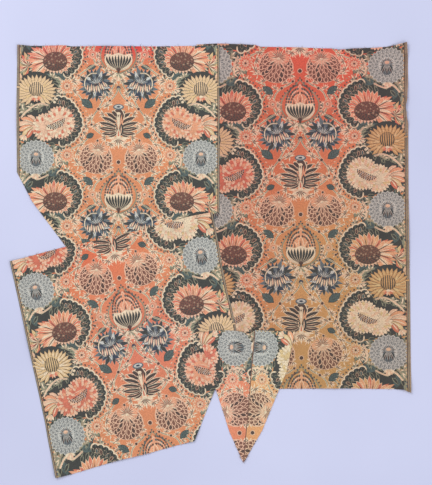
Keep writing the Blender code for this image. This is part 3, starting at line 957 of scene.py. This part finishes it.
# Where light and wear have turned the ground another colour, in each cut's own metres.
Fade = namedtuple("Fade", "cut s t reach_s reach_t red green blue")
FADES = [
    Fade("right_panel", 0.00, -0.04, 0.40, 0.30, 226, 92, 72),
    Fade("right_panel", -0.12, 0.20, 0.20, 0.22, 214, 112, 80),
    Fade("right_panel", 0.10, 0.52, 0.30, 0.22, 208, 158, 98),
    Fade("right_panel", 0.05, 0.76, 0.40, 0.26, 200, 160, 100),
    Fade("right_panel", -0.16, 0.50, 0.10, 0.20, 214, 124, 88),
    Fade("upper_left_panel", 0.02, -0.285, 0.16, 0.05, 216, 58, 56),
    Fade("upper_left_panel", -0.22, -0.285, 0.12, 0.05, 214, 80, 74),
    Fade("lower_left_panel", -0.06, -0.06, 0.16, 0.14, 226, 116, 80),
    Fade("lower_left_panel", 0.04, 0.18, 0.20, 0.16, 226, 126, 100),
    Fade("gore_left", 0.10, -0.02, 0.30, 0.20, 232, 142, 108),
    Fade("gore_right", -0.10, -0.02, 0.30, 0.14, 232, 174, 118),
]

POINT_PITCH = 0.012  # grid of points that lets the sheet bend between motifs
RIM_PITCH = 0.004  # step along the outline
BACK_PITCH = 0.024  # grid of the plain back
GRID_MARGIN = 0.4  # how far such a grid stays clear of the rim, as a share of its pitch
NEAR = 0.0004  # points of an outline that lie nearer than this are one point
BACK_COLOUR = (164, 128, 104)
FADE_FALL = 1.6  # how fast a fade dies out at the edge of its reach

# Limits of the flat mesh work, which is done in mm.
SHAPE_MERGE = 0.03
TOP_MERGE = 0.001
BACK_MERGE = 0.0001
NEARLY_STRAIGHT = 0.04


def from_table(cut, x, y):
    """The cut's own point (s, t) over a point of the table, before its edges stray."""
    weft, warp = directions(cut)
    dx, dy = x - cut.origin[0], y - cut.origin[1]
    return dx * weft.x + dy * weft.y, dx * warp.x + dy * warp.y


def trimmed(points, start, out):
    """The part of an outline that lies behind a line."""
    kept = []
    for a, b in zip(points, points[1:] + points[:1]):
        da, db = (a - start).dot(out), (b - start).dot(out)
        if da <= 0:
            kept.append(a)
        if (da < 0 < db) or (db < 0 < da):
            kept.append(a + (b - a) * (da / (da - db)))
    return kept


def outline_of(cut):
    """The cut's outline on the table, anticlockwise, with its waves and scissor cuts."""
    def stretch(start, stop):
        count = max(2, round(abs(stop - start) / RIM_PITCH))
        return [start + (stop - start) * i / count for i in range(count)]

    flat = [(s, cut.bottom) for s in stretch(cut.left, cut.right)]
    flat += [(cut.right, t) for t in stretch(cut.bottom, cut.top)]
    flat += [(s, cut.top) for s in stretch(cut.right, cut.left)]
    flat += [(cut.left, t) for t in stretch(cut.top, cut.bottom)]
    points = [on_table(cut, *strayed(cut, s, t)) for s, t in flat]
    for slash in SLASHES:
        if slash.cut == cut.name:
            points = trimmed(points, *slash_line(slash))
    clean = []
    for point in points:
        if not clean or (point - clean[-1]).length > NEAR:
            clean.append(point)
    return clean


def grid_inside(outline, pitch, margin):
    """Staggered points inside an outline and clear of its edge."""
    low_y, high_y = min(p.y for p in outline), max(p.y for p in outline)
    found = []
    for row in range(int((high_y - low_y) / pitch) + 1):
        y = low_y + (row + 0.5) * pitch
        crossings = []
        for a, b in zip(outline, outline[1:] + outline[:1]):
            if (a.y <= y) != (b.y <= y):
                crossings.append(a.x + (b.x - a.x) * (y - a.y) / (b.y - a.y))
        crossings.sort()
        for low, high in zip(crossings[::2], crossings[1::2]):
            x = math.floor(low / pitch) * pitch + (0.5 * pitch if row % 2 else 0)
            while x < high - margin:
                if x > low + margin:
                    found.append(Vector((x, y)))
                x += pitch
    return found


# The line down the gore, where its two halves are sewn together. A brown strip drawn along it is painted shade in the
# seam.
GORE_SEAM = ((0.0824, -0.507), (0.1111, -0.177))
SEAM_SHADE_PIECES = 16  # pieces that the line is drawn in
SEAM_SHADE_WIDTH = 0.45  # steps of the line's width on each half

Woven = namedtuple("Woven", "points dye behind root tip half")


def woven_shapes(cut, drafts):
    """Every shape of the pattern that reaches the cut, in steps of its own s and t, and on the gore a strip of painted
    shade along its seam.
    """
    weave = WEAVES[cut.name]
    rows = range(weave.first, weave.last + 1)
    low_s, high_s = cut.left / STEP - 2, cut.right / STEP + 2
    low_t, high_t = cut.top / STEP - 4, cut.bottom / STEP + 4
    shapes = []
    for row in rows:
        for side in (1, -1):
            bloom = BLOOMS.get((cut.name, side, row), PLAIN_BLOOM)
            if bloom not in drafts:
                drafts[bloom] = half_repeat(bloom.lotus, bloom.heart)
            for shape in drafts[bloom]:
                if shape.once and side < 0:
                    continue

                def spot(point):
                    return (point[0] * side * weave.across, (point[1] + row * REPEAT) * weave.down)

                points = [spot(p) for p in shape.points]
                across, down = [p[0] for p in points], [p[1] for p in points]
                if max(across) < low_s or min(across) > high_s or max(down) < low_t or min(down) > high_t:
                    continue
                if side < 0:
                    points.reverse()
                shapes.append(Woven(points, shape.dye, shape.behind, spot(shape.root), spot(shape.tip), shape.half))
    shapes.sort(key=lambda shape: not shape.behind)
    if cut.name in ("gore_left", "gore_right"):
        # A brown strip along the seam line: painted shade where the gore's two halves meet.
        low, high = (Vector(from_table(cut, *p)) / STEP for p in GORE_SEAM)
        for k in range(SEAM_SHADE_PIECES):
            a, b = low.lerp(high, k / SEAM_SHADE_PIECES), low.lerp(high, (k + 1) / SEAM_SHADE_PIECES)
            points = [(a.x, a.y + 1), (b.x, b.y + 1), (b.x, b.y - SEAM_SHADE_WIDTH), (a.x, a.y - SEAM_SHADE_WIDTH)]
            shapes.append(Woven(points, "brown", False, tuple(a), tuple(b), 1.0))
    return shapes


def ground_at(name, s, t):
    """The faded ground colour at a point of a cut."""
    base = DYES["ground"]
    colour = [base.red, base.green, base.blue]
    for fade in FADES:
        if fade.cut == name:
            far = ((s - fade.s) / fade.reach_s) ** 2 + ((t - fade.t) / fade.reach_t) ** 2
            share = math.exp(-FADE_FALL * far)
            colour = [c + (f - c) * share for c, f in zip(colour, (fade.red, fade.green, fade.blue))]
    return colour


# How much of each colour the cut still gives back: the right one has darkened.
TONES = {"right_panel": (0.95, 0.89, 0.88)}


def linear(value):
    """An 8-bit colour value as light."""
    value /= 255
    return value / 12.92 if value <= 0.04045 else ((value + 0.055) / 1.055) ** 2.4


def dyed(dye, ground, tone):
    """A dye's colour where the ground has a given colour, as light."""
    base = DYES["ground"]
    shift = [g - b for g, b in zip(ground, (base.red, base.green, base.blue))]
    values = [c + dye.follows * d for c, d in zip((dye.red, dye.green, dye.blue), shift)]
    return [linear(min(255, max(0, value * share))) for value, share in zip(values, tone)]


def topmost(spots, faces, runs):
    """The last outline that holds each triangle's middle, or -1 where none does."""
    corners = np.array([p[:] for p in spots])[np.array([list(face) for face in faces])]
    middles = corners.mean(axis=1)
    order = np.argsort(middles[:, 1])
    heights = middles[order, 1]
    owners = np.full(len(faces), -1)
    for number, run in enumerate(runs):
        line = np.array([p[:] for p in run])
        low, high = line.min(axis=0), line.max(axis=0)
        near = order[np.searchsorted(heights, low[1]):np.searchsorted(heights, high[1])]
        near = near[(middles[near, 0] > low[0]) & (middles[near, 0] < high[0])]
        x, y = middles[near, 0], middles[near, 1]
        inside = np.zeros(len(near), dtype=bool)
        for (x1, y1), (x2, y2) in zip(line, np.roll(line, -1, axis=0)):
            if y1 != y2:
                inside ^= ((y1 <= y) != (y2 <= y)) & (x < x1 + (x2 - x1) * (y - y1) / (y2 - y1))
        owners[near[inside]] = number
    return owners.tolist()


def edges_of(face):
    """A face's edges, each with its lower point number first."""
    return [(min(a, b), max(a, b)) for a, b in zip(face, face[1:] + face[:1])]


def triangles(spots, edges, rim_count, merge):
    """Triangles that keep the given edges, inside the closed rim that the first edges form."""
    found, lines, faces, _, sources, _ = delaunay_2d_cdt(spots, edges, [], 0, merge, True)
    rim = {(min(line), max(line)) for line, source in zip(lines, sources) if any(i < rim_count for i in source)}
    beside = {}
    for number, face in enumerate(faces):
        for edge in edges_of(face):
            beside.setdefault(edge, []).append(number)
    outside = set()
    waiting = [numbers[0] for edge, numbers in beside.items() if len(numbers) == 1 and edge not in rim]
    while waiting:
        number = waiting.pop()
        if number not in outside:
            outside.add(number)
            for edge in edges_of(faces[number]):
                if edge not in rim:
                    waiting += beside[edge]
    return found, [face for number, face in enumerate(faces) if number not in outside], rim


def shape_borders(spots, faces, owners, rim):
    """The lines where one shape shows beside another, the rim's first, without the hidden ones."""
    beside = {}
    for face, own in zip(faces, owners):
        for edge in edges_of(face):
            beside.setdefault(edge, []).append(own)
    fixed = {i for edge in rim for i in edge}
    reach = {}
    for edge, owns in beside.items():
        if edge in rim or owns[0] != owns[1]:
            reach.setdefault(edge[0], set()).add(edge[1])
            reach.setdefault(edge[1], set()).add(edge[0])
    for middle in list(reach):
        if len(reach[middle]) == 2 and middle not in fixed:
            a, b = reach[middle]
            run = spots[b] - spots[a]
            off = abs(run.cross(spots[middle] - spots[a])) / (run.length or 1.0)
            if off < NEARLY_STRAIGHT and b not in reach[a]:
                reach[a] = reach[a] - {middle} | {b}
                reach[b] = reach[b] - {middle} | {a}
                del reach[middle]
    number = {old: new for new, old in enumerate(reach)}
    edges = [(number[a], number[b]) for a, b in rim]
    edges += [(number[a], number[b]) for a in reach for b in reach[a] if a < b and (a, b) not in rim]
    return [spots[i] for i in reach], edges


def rim_loop(faces, rim):
    """The rim as one run of point numbers, anticlockwise."""
    following = {}
    for face in faces:
        for a, b in zip(face, face[1:] + face[:1]):
            if (min(a, b), max(a, b)) in rim:
                following[a] = b
    loop = [min(following)]
    while len(loop) < len(following):
        loop.append(following[loop[-1]])
    return loop


def silk_cloth(cut, drafts):
    """One closed sheet: the woven face on top, a plain back, and the edge between them."""
    outline = outline_of(cut)
    shapes = woven_shapes(cut, drafts)
    runs = []
    for shape in shapes:
        runs.append([on_table(cut, *strayed(cut, s * STEP, t * STEP)) * 1000 for s, t in shape.points])
    spots, edges = [], []
    for run in [[p * 1000 for p in outline]] + runs:
        first = len(spots)
        spots += run
        edges += [(first + i, first + (i + 1) % len(run)) for i in range(len(run))]
    found, faces, rim = triangles(spots, edges, len(outline), SHAPE_MERGE)
    spots, edges = shape_borders(found, faces, topmost(found, faces, runs), rim)
    spots += [p * 1000 for p in grid_inside(outline, POINT_PITCH, POINT_PITCH * GRID_MARGIN)]
    found, faces, rim = triangles(spots, edges, len(rim), TOP_MERGE)
    top_owner = topmost(found, faces, runs)
    top = []
    for face in faces:
        a, b, c = (found[i] for i in face)
        top.append(list(face) if (b - a).cross(c - a) > 0 else list(face)[::-1])

    used = sorted({i for face in top for i in face})
    number = {old: new for new, old in enumerate(used)}
    loop = [number[i] for i in rim_loop(top, rim)]
    top = [[number[i] for i in face] for face in top]
    flat = [found[i] / 1000 for i in used]

    points = [(p.x, p.y, underside_at(cut.name, p) + CLOTH) for p in flat]
    border = [flat[i] * 1000 for i in loop]
    edge_count = len(border)
    inner = grid_inside([flat[i] for i in loop], BACK_PITCH, BACK_PITCH * GRID_MARGIN)
    lows = border + [p * 1000 for p in inner]
    border_edges = [(i, (i + 1) % edge_count) for i in range(edge_count)]
    lows, back, _ = triangles(lows, border_edges, edge_count, BACK_MERGE)
    base = len(points)
    points += [(p.x / 1000, p.y / 1000, underside_at(cut.name, p / 1000)) for p in lows]
    faces = list(top)
    for face in back:
        a, b, c = (lows[i] for i in face)
        face = list(face) if (b - a).cross(c - a) < 0 else list(face)[::-1]
        faces.append([base + i for i in face])
    first_edge = len(faces)
    for i, a in enumerate(loop):
        j = (i + 1) % edge_count
        faces.append([a, base + i, base + j, loop[j]])

    mesh = bpy.data.meshes.new(cut.name)
    mesh.from_pydata(points, [], faces)
    paint(mesh, cut, flat, shapes, top_owner, loop, base, first_edge, edge_count)
    sheet = bpy.data.objects.new(cut.name + "_silk", mesh)
    bpy.context.scene.collection.objects.link(sheet)
    return sheet


def paint(mesh, cut, flat, shapes, owner, loop, base, first_edge, edge_count):
    """Gives every corner its dye, its place in its petal, and its place on the loom."""
    top_count = len(owner)
    own = [from_table(cut, p.x, p.y) for p in flat]
    grounds = [ground_at(cut.name, s, t) for s, t in own]
    colours, grains, places = [], [], []
    mixed = {}
    back = [linear(c) for c in BACK_COLOUR]
    tone = TONES.get(cut.name, (1.0, 1.0, 1.0))
    for index, polygon in enumerate(mesh.polygons):
        for corner in polygon.vertices:
            if index >= top_count:
                colours += [*back, 1.0]
                grains += [0.0, 0.5, 0.0]
                continue
            shape = shapes[owner[index]] if owner[index] >= 0 else None
            name = shape.dye if shape else "ground"
            key = (name, corner)
            if key not in mixed:
                mixed[key] = dyed(DYES[name], grounds[corner], tone)
            colours += [*mixed[key], 1.0]
            if shape:
                s, t = own[corner]
                dx, dy = s / STEP - shape.root[0], t / STEP - shape.root[1]
                ax, ay = shape.tip[0] - shape.root[0], shape.tip[1] - shape.root[1]
                long = math.hypot(ax, ay) or 1.0
                along = (dx * ax + dy * ay) / long / long
                across = (dx * ay - dy * ax) / long / max(0.3, shape.half)
                grains += [across, along, shape.half]
            else:
                grains += [0.0, 0.5, 0.0]
    mesh.attributes.new("dye", "FLOAT_COLOR", "CORNER").data.foreach_set("color", colours)
    mesh.attributes.new("grain", "FLOAT_VECTOR", "CORNER").data.foreach_set("vector", grains)
    for vert in mesh.vertices:
        s, t = from_table(cut, vert.co.x, vert.co.y)
        places += [s, t, 0.0]
    mesh.attributes.new("loom", "FLOAT_VECTOR", "POINT").data.foreach_set("vector", places)

    # The bake map: the face fills the square's upper part, the back and the edge lie under it.
    low_x, low_y = min(v.co.x for v in mesh.vertices), min(v.co.y for v in mesh.vertices)
    span = max(max(v.co.x for v in mesh.vertices) - low_x, (max(v.co.y for v in mesh.vertices) - low_y) / 0.80)
    uv = []
    for index, polygon in enumerate(mesh.polygons):
        if index < first_edge:
            for corner in polygon.vertices:
                x, y = mesh.vertices[corner].co.xy
                if index < top_count:
                    uv += [0.01 + 0.98 * (x - low_x) / span, 0.205 + 0.98 * (y - low_y) / span]
                else:
                    uv += [0.01 + 0.18 * (x - low_x) / span, 0.02 + 0.18 * (y - low_y) / span]
        else:
            u = 0.25 + 0.7 * (index - first_edge) / edge_count
            w = 0.25 + 0.7 * (index - first_edge + 1) / edge_count
            uv += [u, 0.10, u, 0.05, w, 0.05, w, 0.10]
    mesh.uv_layers.new(name="OFBake").data.foreach_set("uv", uv)
    smooth_faces = [index < first_edge for index in range(len(mesh.polygons))]
    mesh.polygons.foreach_set("use_smooth", smooth_faces)
    rim = {frozenset((loop[i], loop[(i + 1) % edge_count])) for i in range(edge_count)}
    rim |= {frozenset((base + i, base + (i + 1) % edge_count)) for i in range(edge_count)}
    sharp = [frozenset(edge.vertices) in rim for edge in mesh.edges]
    mesh.attributes.new("sharp_edge", "BOOLEAN", "EDGE").data.foreach_set("value", sharp)
    mesh.validate()
    mesh.update()


def silk_material(name):
    """Figured silk: dyed shapes, hatched petals, fine ribs and a dull satin sheen."""
    material = bpy.data.materials.new(name)
    material.use_nodes = True
    tree = material.node_tree
    shader = tree.nodes["Principled BSDF"]
    link = tree.links.new

    def node(kind, **settings):
        made = tree.nodes.new(kind)
        for key, value in settings.items():
            setattr(made, key, value)
        return made

    def math_node(operation, first, second=None):
        made = node("ShaderNodeMath", operation=operation)
        for socket, value in zip(made.inputs, (first, second)):
            if value is None:
                continue
            if isinstance(value, (int, float)):
                socket.default_value = value
            else:
                link(value, socket)
        return made.outputs[0]

    dye = node("ShaderNodeAttribute", attribute_name="dye")
    grain = node("ShaderNodeAttribute", attribute_name="grain")
    loom = node("ShaderNodeAttribute", attribute_name="loom")
    parts = node("ShaderNodeSeparateXYZ")
    link(grain.outputs["Vector"], parts.inputs[0])

    # Petals are darker at the root, and hatched lengthwise.
    root = node("ShaderNodeMapRange")
    link(parts.outputs["Y"], root.inputs["Value"])
    root.inputs["From Min"].default_value = 0.0
    root.inputs["From Max"].default_value = 0.55
    root.inputs["To Min"].default_value = 0.80
    root.inputs["To Max"].default_value = 1.04
    hatch = math_node("SINE", math_node("MULTIPLY", parts.outputs["X"], 7.0))
    hatch = math_node("ADD", math_node("MULTIPLY", hatch, 0.05), 1.0)

    # Uneven wear over the whole cloth, streaks along the weft, and single bright picks.
    def noise(scale_s, scale_t, detail, low, high):
        spread_out = node("ShaderNodeMapping")
        spread_out.inputs["Scale"].default_value = (scale_s, scale_t, 1.0)
        link(loom.outputs["Vector"], spread_out.inputs["Vector"])
        made = node("ShaderNodeTexNoise")
        made.inputs["Scale"].default_value = 1.0
        made.inputs["Detail"].default_value = detail
        made.inputs["Roughness"].default_value = 0.6
        link(spread_out.outputs[0], made.inputs["Vector"])
        band = node("ShaderNodeMapRange")
        link(made.outputs["Fac"], band.inputs["Value"])
        band.inputs["From Min"].default_value = 0.30
        band.inputs["From Max"].default_value = 0.70
        band.inputs["To Min"].default_value = low
        band.inputs["To Max"].default_value = high
        return band.outputs[0]

    tone = math_node("MULTIPLY", root.outputs[0], hatch)
    tone = math_node("MULTIPLY", tone, noise(380, 380, 3.0, 0.74, 1.26))
    tone = math_node("MULTIPLY", tone, noise(120, 900, 2.0, 0.88, 1.12))
    tone = math_node("MULTIPLY", tone, noise(1100, 200, 2.0, 0.90, 1.10))
    tone = math_node("MULTIPLY", tone, noise(14, 14, 3.0, 0.94, 1.06))
    shaded = node("ShaderNodeVectorMath", operation="SCALE")
    link(dye.outputs["Color"], shaded.inputs[0])
    link(tone, shaded.inputs["Scale"])
    link(shaded.outputs[0], shader.inputs["Base Color"])

    # Ribs of the ground weave, 0.8 mm apart, with the binding warps across them.
    weft = node("ShaderNodeTexWave", bands_direction="Y")
    weft.inputs["Scale"].default_value = 390.0
    weft.inputs["Distortion"].default_value = 1.2
    link(loom.outputs["Vector"], weft.inputs["Vector"])
    warp = node("ShaderNodeTexWave", bands_direction="X")
    warp.inputs["Scale"].default_value = 620.0
    warp.inputs["Distortion"].default_value = 1.0
    link(loom.outputs["Vector"], warp.inputs["Vector"])
    height = math_node("ADD", weft.outputs["Fac"], math_node("MULTIPLY", warp.outputs["Fac"], 0.6))
    bump = node("ShaderNodeBump")
    bump.inputs["Strength"].default_value = 0.35
    bump.inputs["Distance"].default_value = 0.0003
    link(height, bump.inputs["Height"])
    link(bump.outputs[0], shader.inputs["Normal"])
    shader.inputs["Roughness"].default_value = 0.62
    shader.inputs["Specular IOR Level"].default_value = 0.35
    shader.inputs["Sheen Weight"].default_value = 0.15
    shader.inputs["Sheen Roughness"].default_value = 0.5
    return material


def strand_start(name, sides, radius, long):
    """A short strand along X from the origin, in edit mode, with its far end selected."""
    bpy.ops.object.select_all(action="DESELECT")
    bpy.ops.mesh.primitive_cylinder_add(
        vertices=sides, radius=radius, depth=long, location=(long / 2, 0, 0), rotation=(0, math.radians(90), 0)
    )
    strand = bpy.context.object
    strand.name = name
    bpy.ops.object.transform_apply(location=True, rotation=True, scale=True)
    bpy.ops.object.mode_set(mode="EDIT")
    bpy.ops.mesh.select_mode(type="FACE")
    bpy.ops.mesh.select_all(action="DESELECT")
    shape = bmesh.from_edit_mesh(strand.data)
    for face in shape.faces:
        face.select_set(face.normal.x > 0.9)
    bmesh.update_edit_mesh(strand.data)
    return strand


def draw_out(centre, steps):
    """Pulls the selected end on, step by step, and thins it, then leaves edit mode."""
    for ahead, aside, up, thin in steps:
        centre = (centre[0] + ahead, centre[1] + aside, centre[2] + up)
        bpy.ops.mesh.extrude_region_move(TRANSFORM_OT_translate={"value": (ahead, aside, up)})
        bpy.ops.transform.resize(value=(1, thin, thin), center_override=centre)
    bpy.ops.mesh.select_all(action="SELECT")
    bpy.ops.mesh.normals_make_consistent(inside=False)
    bpy.ops.object.mode_set(mode="OBJECT")
    bpy.ops.object.shade_smooth()


def loose_end():
    """One frayed end of yarn, 5 mm long, that bends aside and thins out."""
    end = strand_start("loose_end", 3, 0.00020, 0.0012)
    draw_out((0.0012, 0, 0), [
        (0.0013, 0.00010, 0, 0.95), (0.0011, 0.00040, 0, 0.90), (0.0008, 0.00065, 0, 0.80), (0.0006, 0.00090, 0, 0.50),
    ])
    return end


def running_stitch():
    """One stitch, 3 mm long, that comes up out of the cloth, lies on it and goes back in."""
    stitch = strand_start("running_stitch", 5, 0.00020, 0.0002)
    draw_out((0.0002, 0, 0), [
        (0.0004, 0, 0.00022, 1.25), (0.0009, 0, 0.00006, 1.10), (0.0009, 0, -0.00006, 0.92),
        (0.0004, 0, -0.00022, 0.80), (0.0002, 0, -0.00005, 1.0),
    ])
    return stitch


def laid_along(start, ahead, stretch, turned_over):
    """The place of a strand that starts there and runs that way."""
    x = ahead.normalized()
    y = Vector((0, 0, 1)).cross(x).normalized()
    z = x.cross(y)
    if turned_over:
        y, z = -y, -z
    return Matrix.Translation(start) @ Matrix((x * stretch, y, z)).transposed().to_4x4()


def copied(model, places, name, material):
    """Copies of a strand, each with its own mesh, place and dye, joined as one piece."""
    bpy.ops.object.select_all(action="DESELECT")
    for place, dye in places:
        copy = model.copy()
        copy.data = model.data.copy()
        copy.matrix_world = place
        bpy.context.scene.collection.objects.link(copy)
        shade = [linear(c) for c in (DYES[dye].red, DYES[dye].green, DYES[dye].blue)]
        tint = copy.data.attributes.new("dye", "FLOAT_COLOR", "POINT")
        tint.data.foreach_set("color", [*shade, 1.0] * len(copy.data.vertices))
        copy.select_set(True)
        bpy.context.view_layer.objects.active = copy
    bpy.context.view_layer.update()
    if len(places) > 1:
        bpy.ops.object.join()
    piece = bpy.context.object
    piece.name = piece.data.name = name
    bpy.ops.object.transform_apply(location=True, rotation=True, scale=True)
    piece.data.materials.append(material)
    return piece


def holds(outline, p):
    """Says if an outline holds a point of the table."""
    inside = False
    for a, b in zip(outline, outline[1:] + outline[:1]):
        if (a.y <= p.y) != (b.y <= p.y) and p.x < a.x + (b.x - a.x) * (p.y - a.y) / (b.y - a.y):
            inside = not inside
    return inside


# How many loose ends fray from each cut's raw edges, under 300 in all, and how many
# places are tried for them.
LOOSE_ENDS = {"right_panel": 100, "upper_left_panel": 66, "lower_left_panel": 76, "gore_left": 20, "gore_right": 24}
TRIES = 9000
LOOSE_LENGTH = 0.005  # of the modelled end
ALONG_WARP = 0.08  # edges that run this nearly along the warp are selvedges
# Two hairs of yarn that stand out further from the upper edge, with their length.
HAIRS = [(-0.176, 0.0085), (-0.081, 0.0075)]


def frayed_places(cut, outlines):
    """Where the loose ends of warp and weft lie along the edges that were cut."""
    chance = random.Random(len(cut.name) + 7)
    outline = outlines[cut.name]
    others = [outlines[name] for name in outlines if name != cut.name]
    weft, _ = directions(cut)
    places = []
    for _ in range(TRIES):
        i = chance.randrange(len(outline))
        a, b = outline[i], outline[(i + 1) % len(outline)]
        edge = (b - a).normalized()
        out = Vector((edge.y, -edge.x))
        start = a.lerp(b, chance.random()) - out * 0.0008
        long = 0.0028 + 0.0042 * chance.random() ** 2
        ahead = (out + edge * (chance.random() - 0.5) * 1.2).normalized()
        tip = start + ahead * long
        dye = chance.choice(("straw", "shell", "bark", "brown", "rose", "umber"))
        turned_over = chance.random() < 0.5
        clear = not any(holds(other, spot) for other in others for spot in (start, tip, tip + ahead * 0.003))
        enough = len(places) >= LOOSE_ENDS[cut.name]
        if enough or abs(edge.dot(weft)) < ALONG_WARP or holds(outline, tip) or not clear:
            continue
        height = underside_at(cut.name, start) + CLOTH * 0.5
        drop = min(height - 0.0004, long * 0.4)
        root = Vector((start.x, start.y, height))
        places.append((laid_along(root, Vector((*(ahead * long), -drop)), long / LOOSE_LENGTH, turned_over), dye))
    if cut.name == "upper_left_panel":
        for x, long in HAIRS:
            edge_y = max(p.y for p in outline if abs(p.x - x) < 0.006)
            start = Vector((x, edge_y - 0.0010, underside_at(cut.name, Vector((x, edge_y))) + CLOTH * 0.5))
            places.append((laid_along(start, Vector((0.12, 1, -0.02)), long / LOOSE_LENGTH, x < -0.1), "umber"))
    return places


# Sewn laps, as the cut that is sewn down, a side of it, how far in, and from where to where.
Seam = namedtuple("Seam", "cut side inset start stop")
SEAMS = [
    Seam("upper_left_panel", "right", 0.0036, -0.274, 0.150),
    Seam("lower_left_panel", "top", 0.0040, -0.085, 0.252),
    Seam("lower_left_panel", "right", 0.0036, -0.088, 0.205),
    Seam("gore_left", "right", 0.0030, -0.086, 0.048),
    Seam("gore_right", "left", 0.0030, -0.078, 0.004),
]
STITCH = 0.0030
STITCH_PITCH = 0.0068


def stitch_places(cut, sheet, outlines):
    """Where the stitches go along the cut's laps, with both ends in its upper side."""
    bpy.context.view_layer.update()
    names = [other.name for other in CUTS]
    above = [outlines[name] for name in names[names.index(cut.name) + 1:]]
    places = []
    for seam in SEAMS:
        if seam.cut != cut.name:
            continue
        for k in range(int((seam.stop - seam.start) / STITCH_PITCH)):
            ends = []
            first = seam.start + k * STITCH_PITCH
            for place in (first, first + STITCH):
                s, t = {
                    "right": (cut.right - seam.inset, place), "left": (cut.left + seam.inset, place),
                    "top": (place, cut.top + seam.inset),
                }[seam.side]
                spot = on_table(cut, *strayed(cut, s, t))
                around = [spot + Vector(step) for step in ((0.002, 0), (-0.002, 0), (0, 0.002), (0, -0.002))]
                seen = all(holds(outlines[cut.name], p) for p in around)
                hit, place_on, _, _ = sheet.ray_cast(Vector((spot.x, spot.y, 0.1)), Vector((0, 0, -1)))
                if hit and seen and not any(holds(other, p) for other in above for p in around):
                    ends.append(place_on + Vector((0, 0, -0.00012)))
            if len(ends) == 2:
                ahead = ends[1] - ends[0]
                places.append((laid_along(ends[0], ahead, ahead.length / STITCH, False), "brown"))
    return places


def thread_material():
    """Twisted silk thread in the colour of the yarn that it comes from."""
    material = bpy.data.materials.new("twisted_silk_thread")
    material.use_nodes = True
    tree = material.node_tree
    shader = tree.nodes["Principled BSDF"]
    dye = tree.nodes.new("ShaderNodeAttribute")
    dye.attribute_name = "dye"
    where = tree.nodes.new("ShaderNodeTexCoord")
    twist = tree.nodes.new("ShaderNodeTexNoise")
    twist.inputs["Scale"].default_value = 2600.0
    band = tree.nodes.new("ShaderNodeMapRange")
    band.inputs["To Min"].default_value = 0.75
    band.inputs["To Max"].default_value = 1.2
    shaded = tree.nodes.new("ShaderNodeVectorMath")
    shaded.operation = "SCALE"
    bump = tree.nodes.new("ShaderNodeBump")
    bump.inputs["Strength"].default_value = 0.4
    bump.inputs["Distance"].default_value = 0.0001
    link = tree.links.new
    link(where.outputs["Object"], twist.inputs["Vector"])
    link(twist.outputs["Fac"], band.inputs["Value"])
    link(twist.outputs["Fac"], bump.inputs["Height"])
    link(dye.outputs["Color"], shaded.inputs[0])
    link(band.outputs[0], shaded.inputs["Scale"])
    link(shaded.outputs[0], shader.inputs["Base Color"])
    link(bump.outputs[0], shader.inputs["Normal"])
    shader.inputs["Roughness"].default_value = 0.55
    return material


def pale_floor():
    """A pale lilac-grey sheet of paper under the panel."""
    bpy.ops.object.select_all(action="DESELECT")
    bpy.ops.mesh.primitive_grid_add(x_subdivisions=8, y_subdivisions=8, size=6.0, location=(0, 0, -0.0004))
    floor = bpy.context.object
    floor.name = "floor"
    bpy.ops.object.transform_apply(location=True, rotation=True, scale=True)
    material = bpy.data.materials.new("pale_paper")
    material.use_nodes = True
    tree = material.node_tree
    shader = tree.nodes["Principled BSDF"]
    where = tree.nodes.new("ShaderNodeTexCoord")
    mottle = tree.nodes.new("ShaderNodeTexNoise")
    mottle.inputs["Scale"].default_value = 1.3
    mottle.inputs["Detail"].default_value = 3.0
    ramp = tree.nodes.new("ShaderNodeValToRGB")
    ramp.color_ramp.elements[0].position = 0.3
    ramp.color_ramp.elements[0].color = (*[linear(c) for c in (206, 209, 236)], 1)
    ramp.color_ramp.elements[1].position = 0.75
    ramp.color_ramp.elements[1].color = (*[linear(c) for c in (218, 221, 247)], 1)
    tree.links.new(where.outputs["Object"], mottle.inputs["Vector"])
    tree.links.new(mottle.outputs["Fac"], ramp.inputs["Fac"])
    tree.links.new(ramp.outputs["Color"], shader.inputs["Base Color"])
    shader.inputs["Roughness"].default_value = 0.9
    shader.inputs["Specular IOR Level"].default_value = 0.1
    floor.data.materials.append(material)


def soft_light(name, place, size, power):
    """A big square lamp that faces the middle of the panel."""
    data = bpy.data.lights.new(name, "AREA")
    data.size = size
    data.energy = power
    lamp = bpy.data.objects.new(name, data)
    lamp.location = place
    lamp.rotation_euler = (-Vector(place)).to_track_quat("-Z", "Y").to_euler()
    bpy.context.scene.collection.objects.link(lamp)


def studio():
    """Even light from both sides, a little stronger from the upper left."""
    soft_light("key_lamp", (-1.6, 2.0, 2.6), 1.6, 46)
    soft_light("fill_lamp", (2.0, -1.2, 2.6), 1.8, 24)
    world = bpy.data.worlds.new("soft_room")
    world.use_nodes = True
    world.node_tree.nodes["Background"].inputs["Color"].default_value = (0.94, 0.96, 1.0, 1)
    world.node_tree.nodes["Background"].inputs["Strength"].default_value = 0.62
    bpy.context.scene.world = world
    bpy.context.scene.view_settings.view_transform = "Standard"


def main():
    pale_floor()
    studio()
    drafts = {}
    outlines = {cut.name: outline_of(cut) for cut in CUTS}
    thread = thread_material()
    end, stitch = loose_end(), running_stitch()
    for cut in CUTS:
        sheet = silk_cloth(cut, drafts)
        sheet.data.materials.append(silk_material(cut.name + "_figured_silk"))
        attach(sheet, "root")
        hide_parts(cut.name)
        trims = [copied(end, frayed_places(cut, outlines), cut.name + "_frayed_threads", thread)]
        stitches = stitch_places(cut, sheet, outlines)
        if stitches:
            trims.append(copied(stitch, stitches, cut.name + "_stitches", thread))
        for trim in trims:
            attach(trim, "root")
    bpy.data.objects.remove(end)
    bpy.data.objects.remove(stitch)


main()
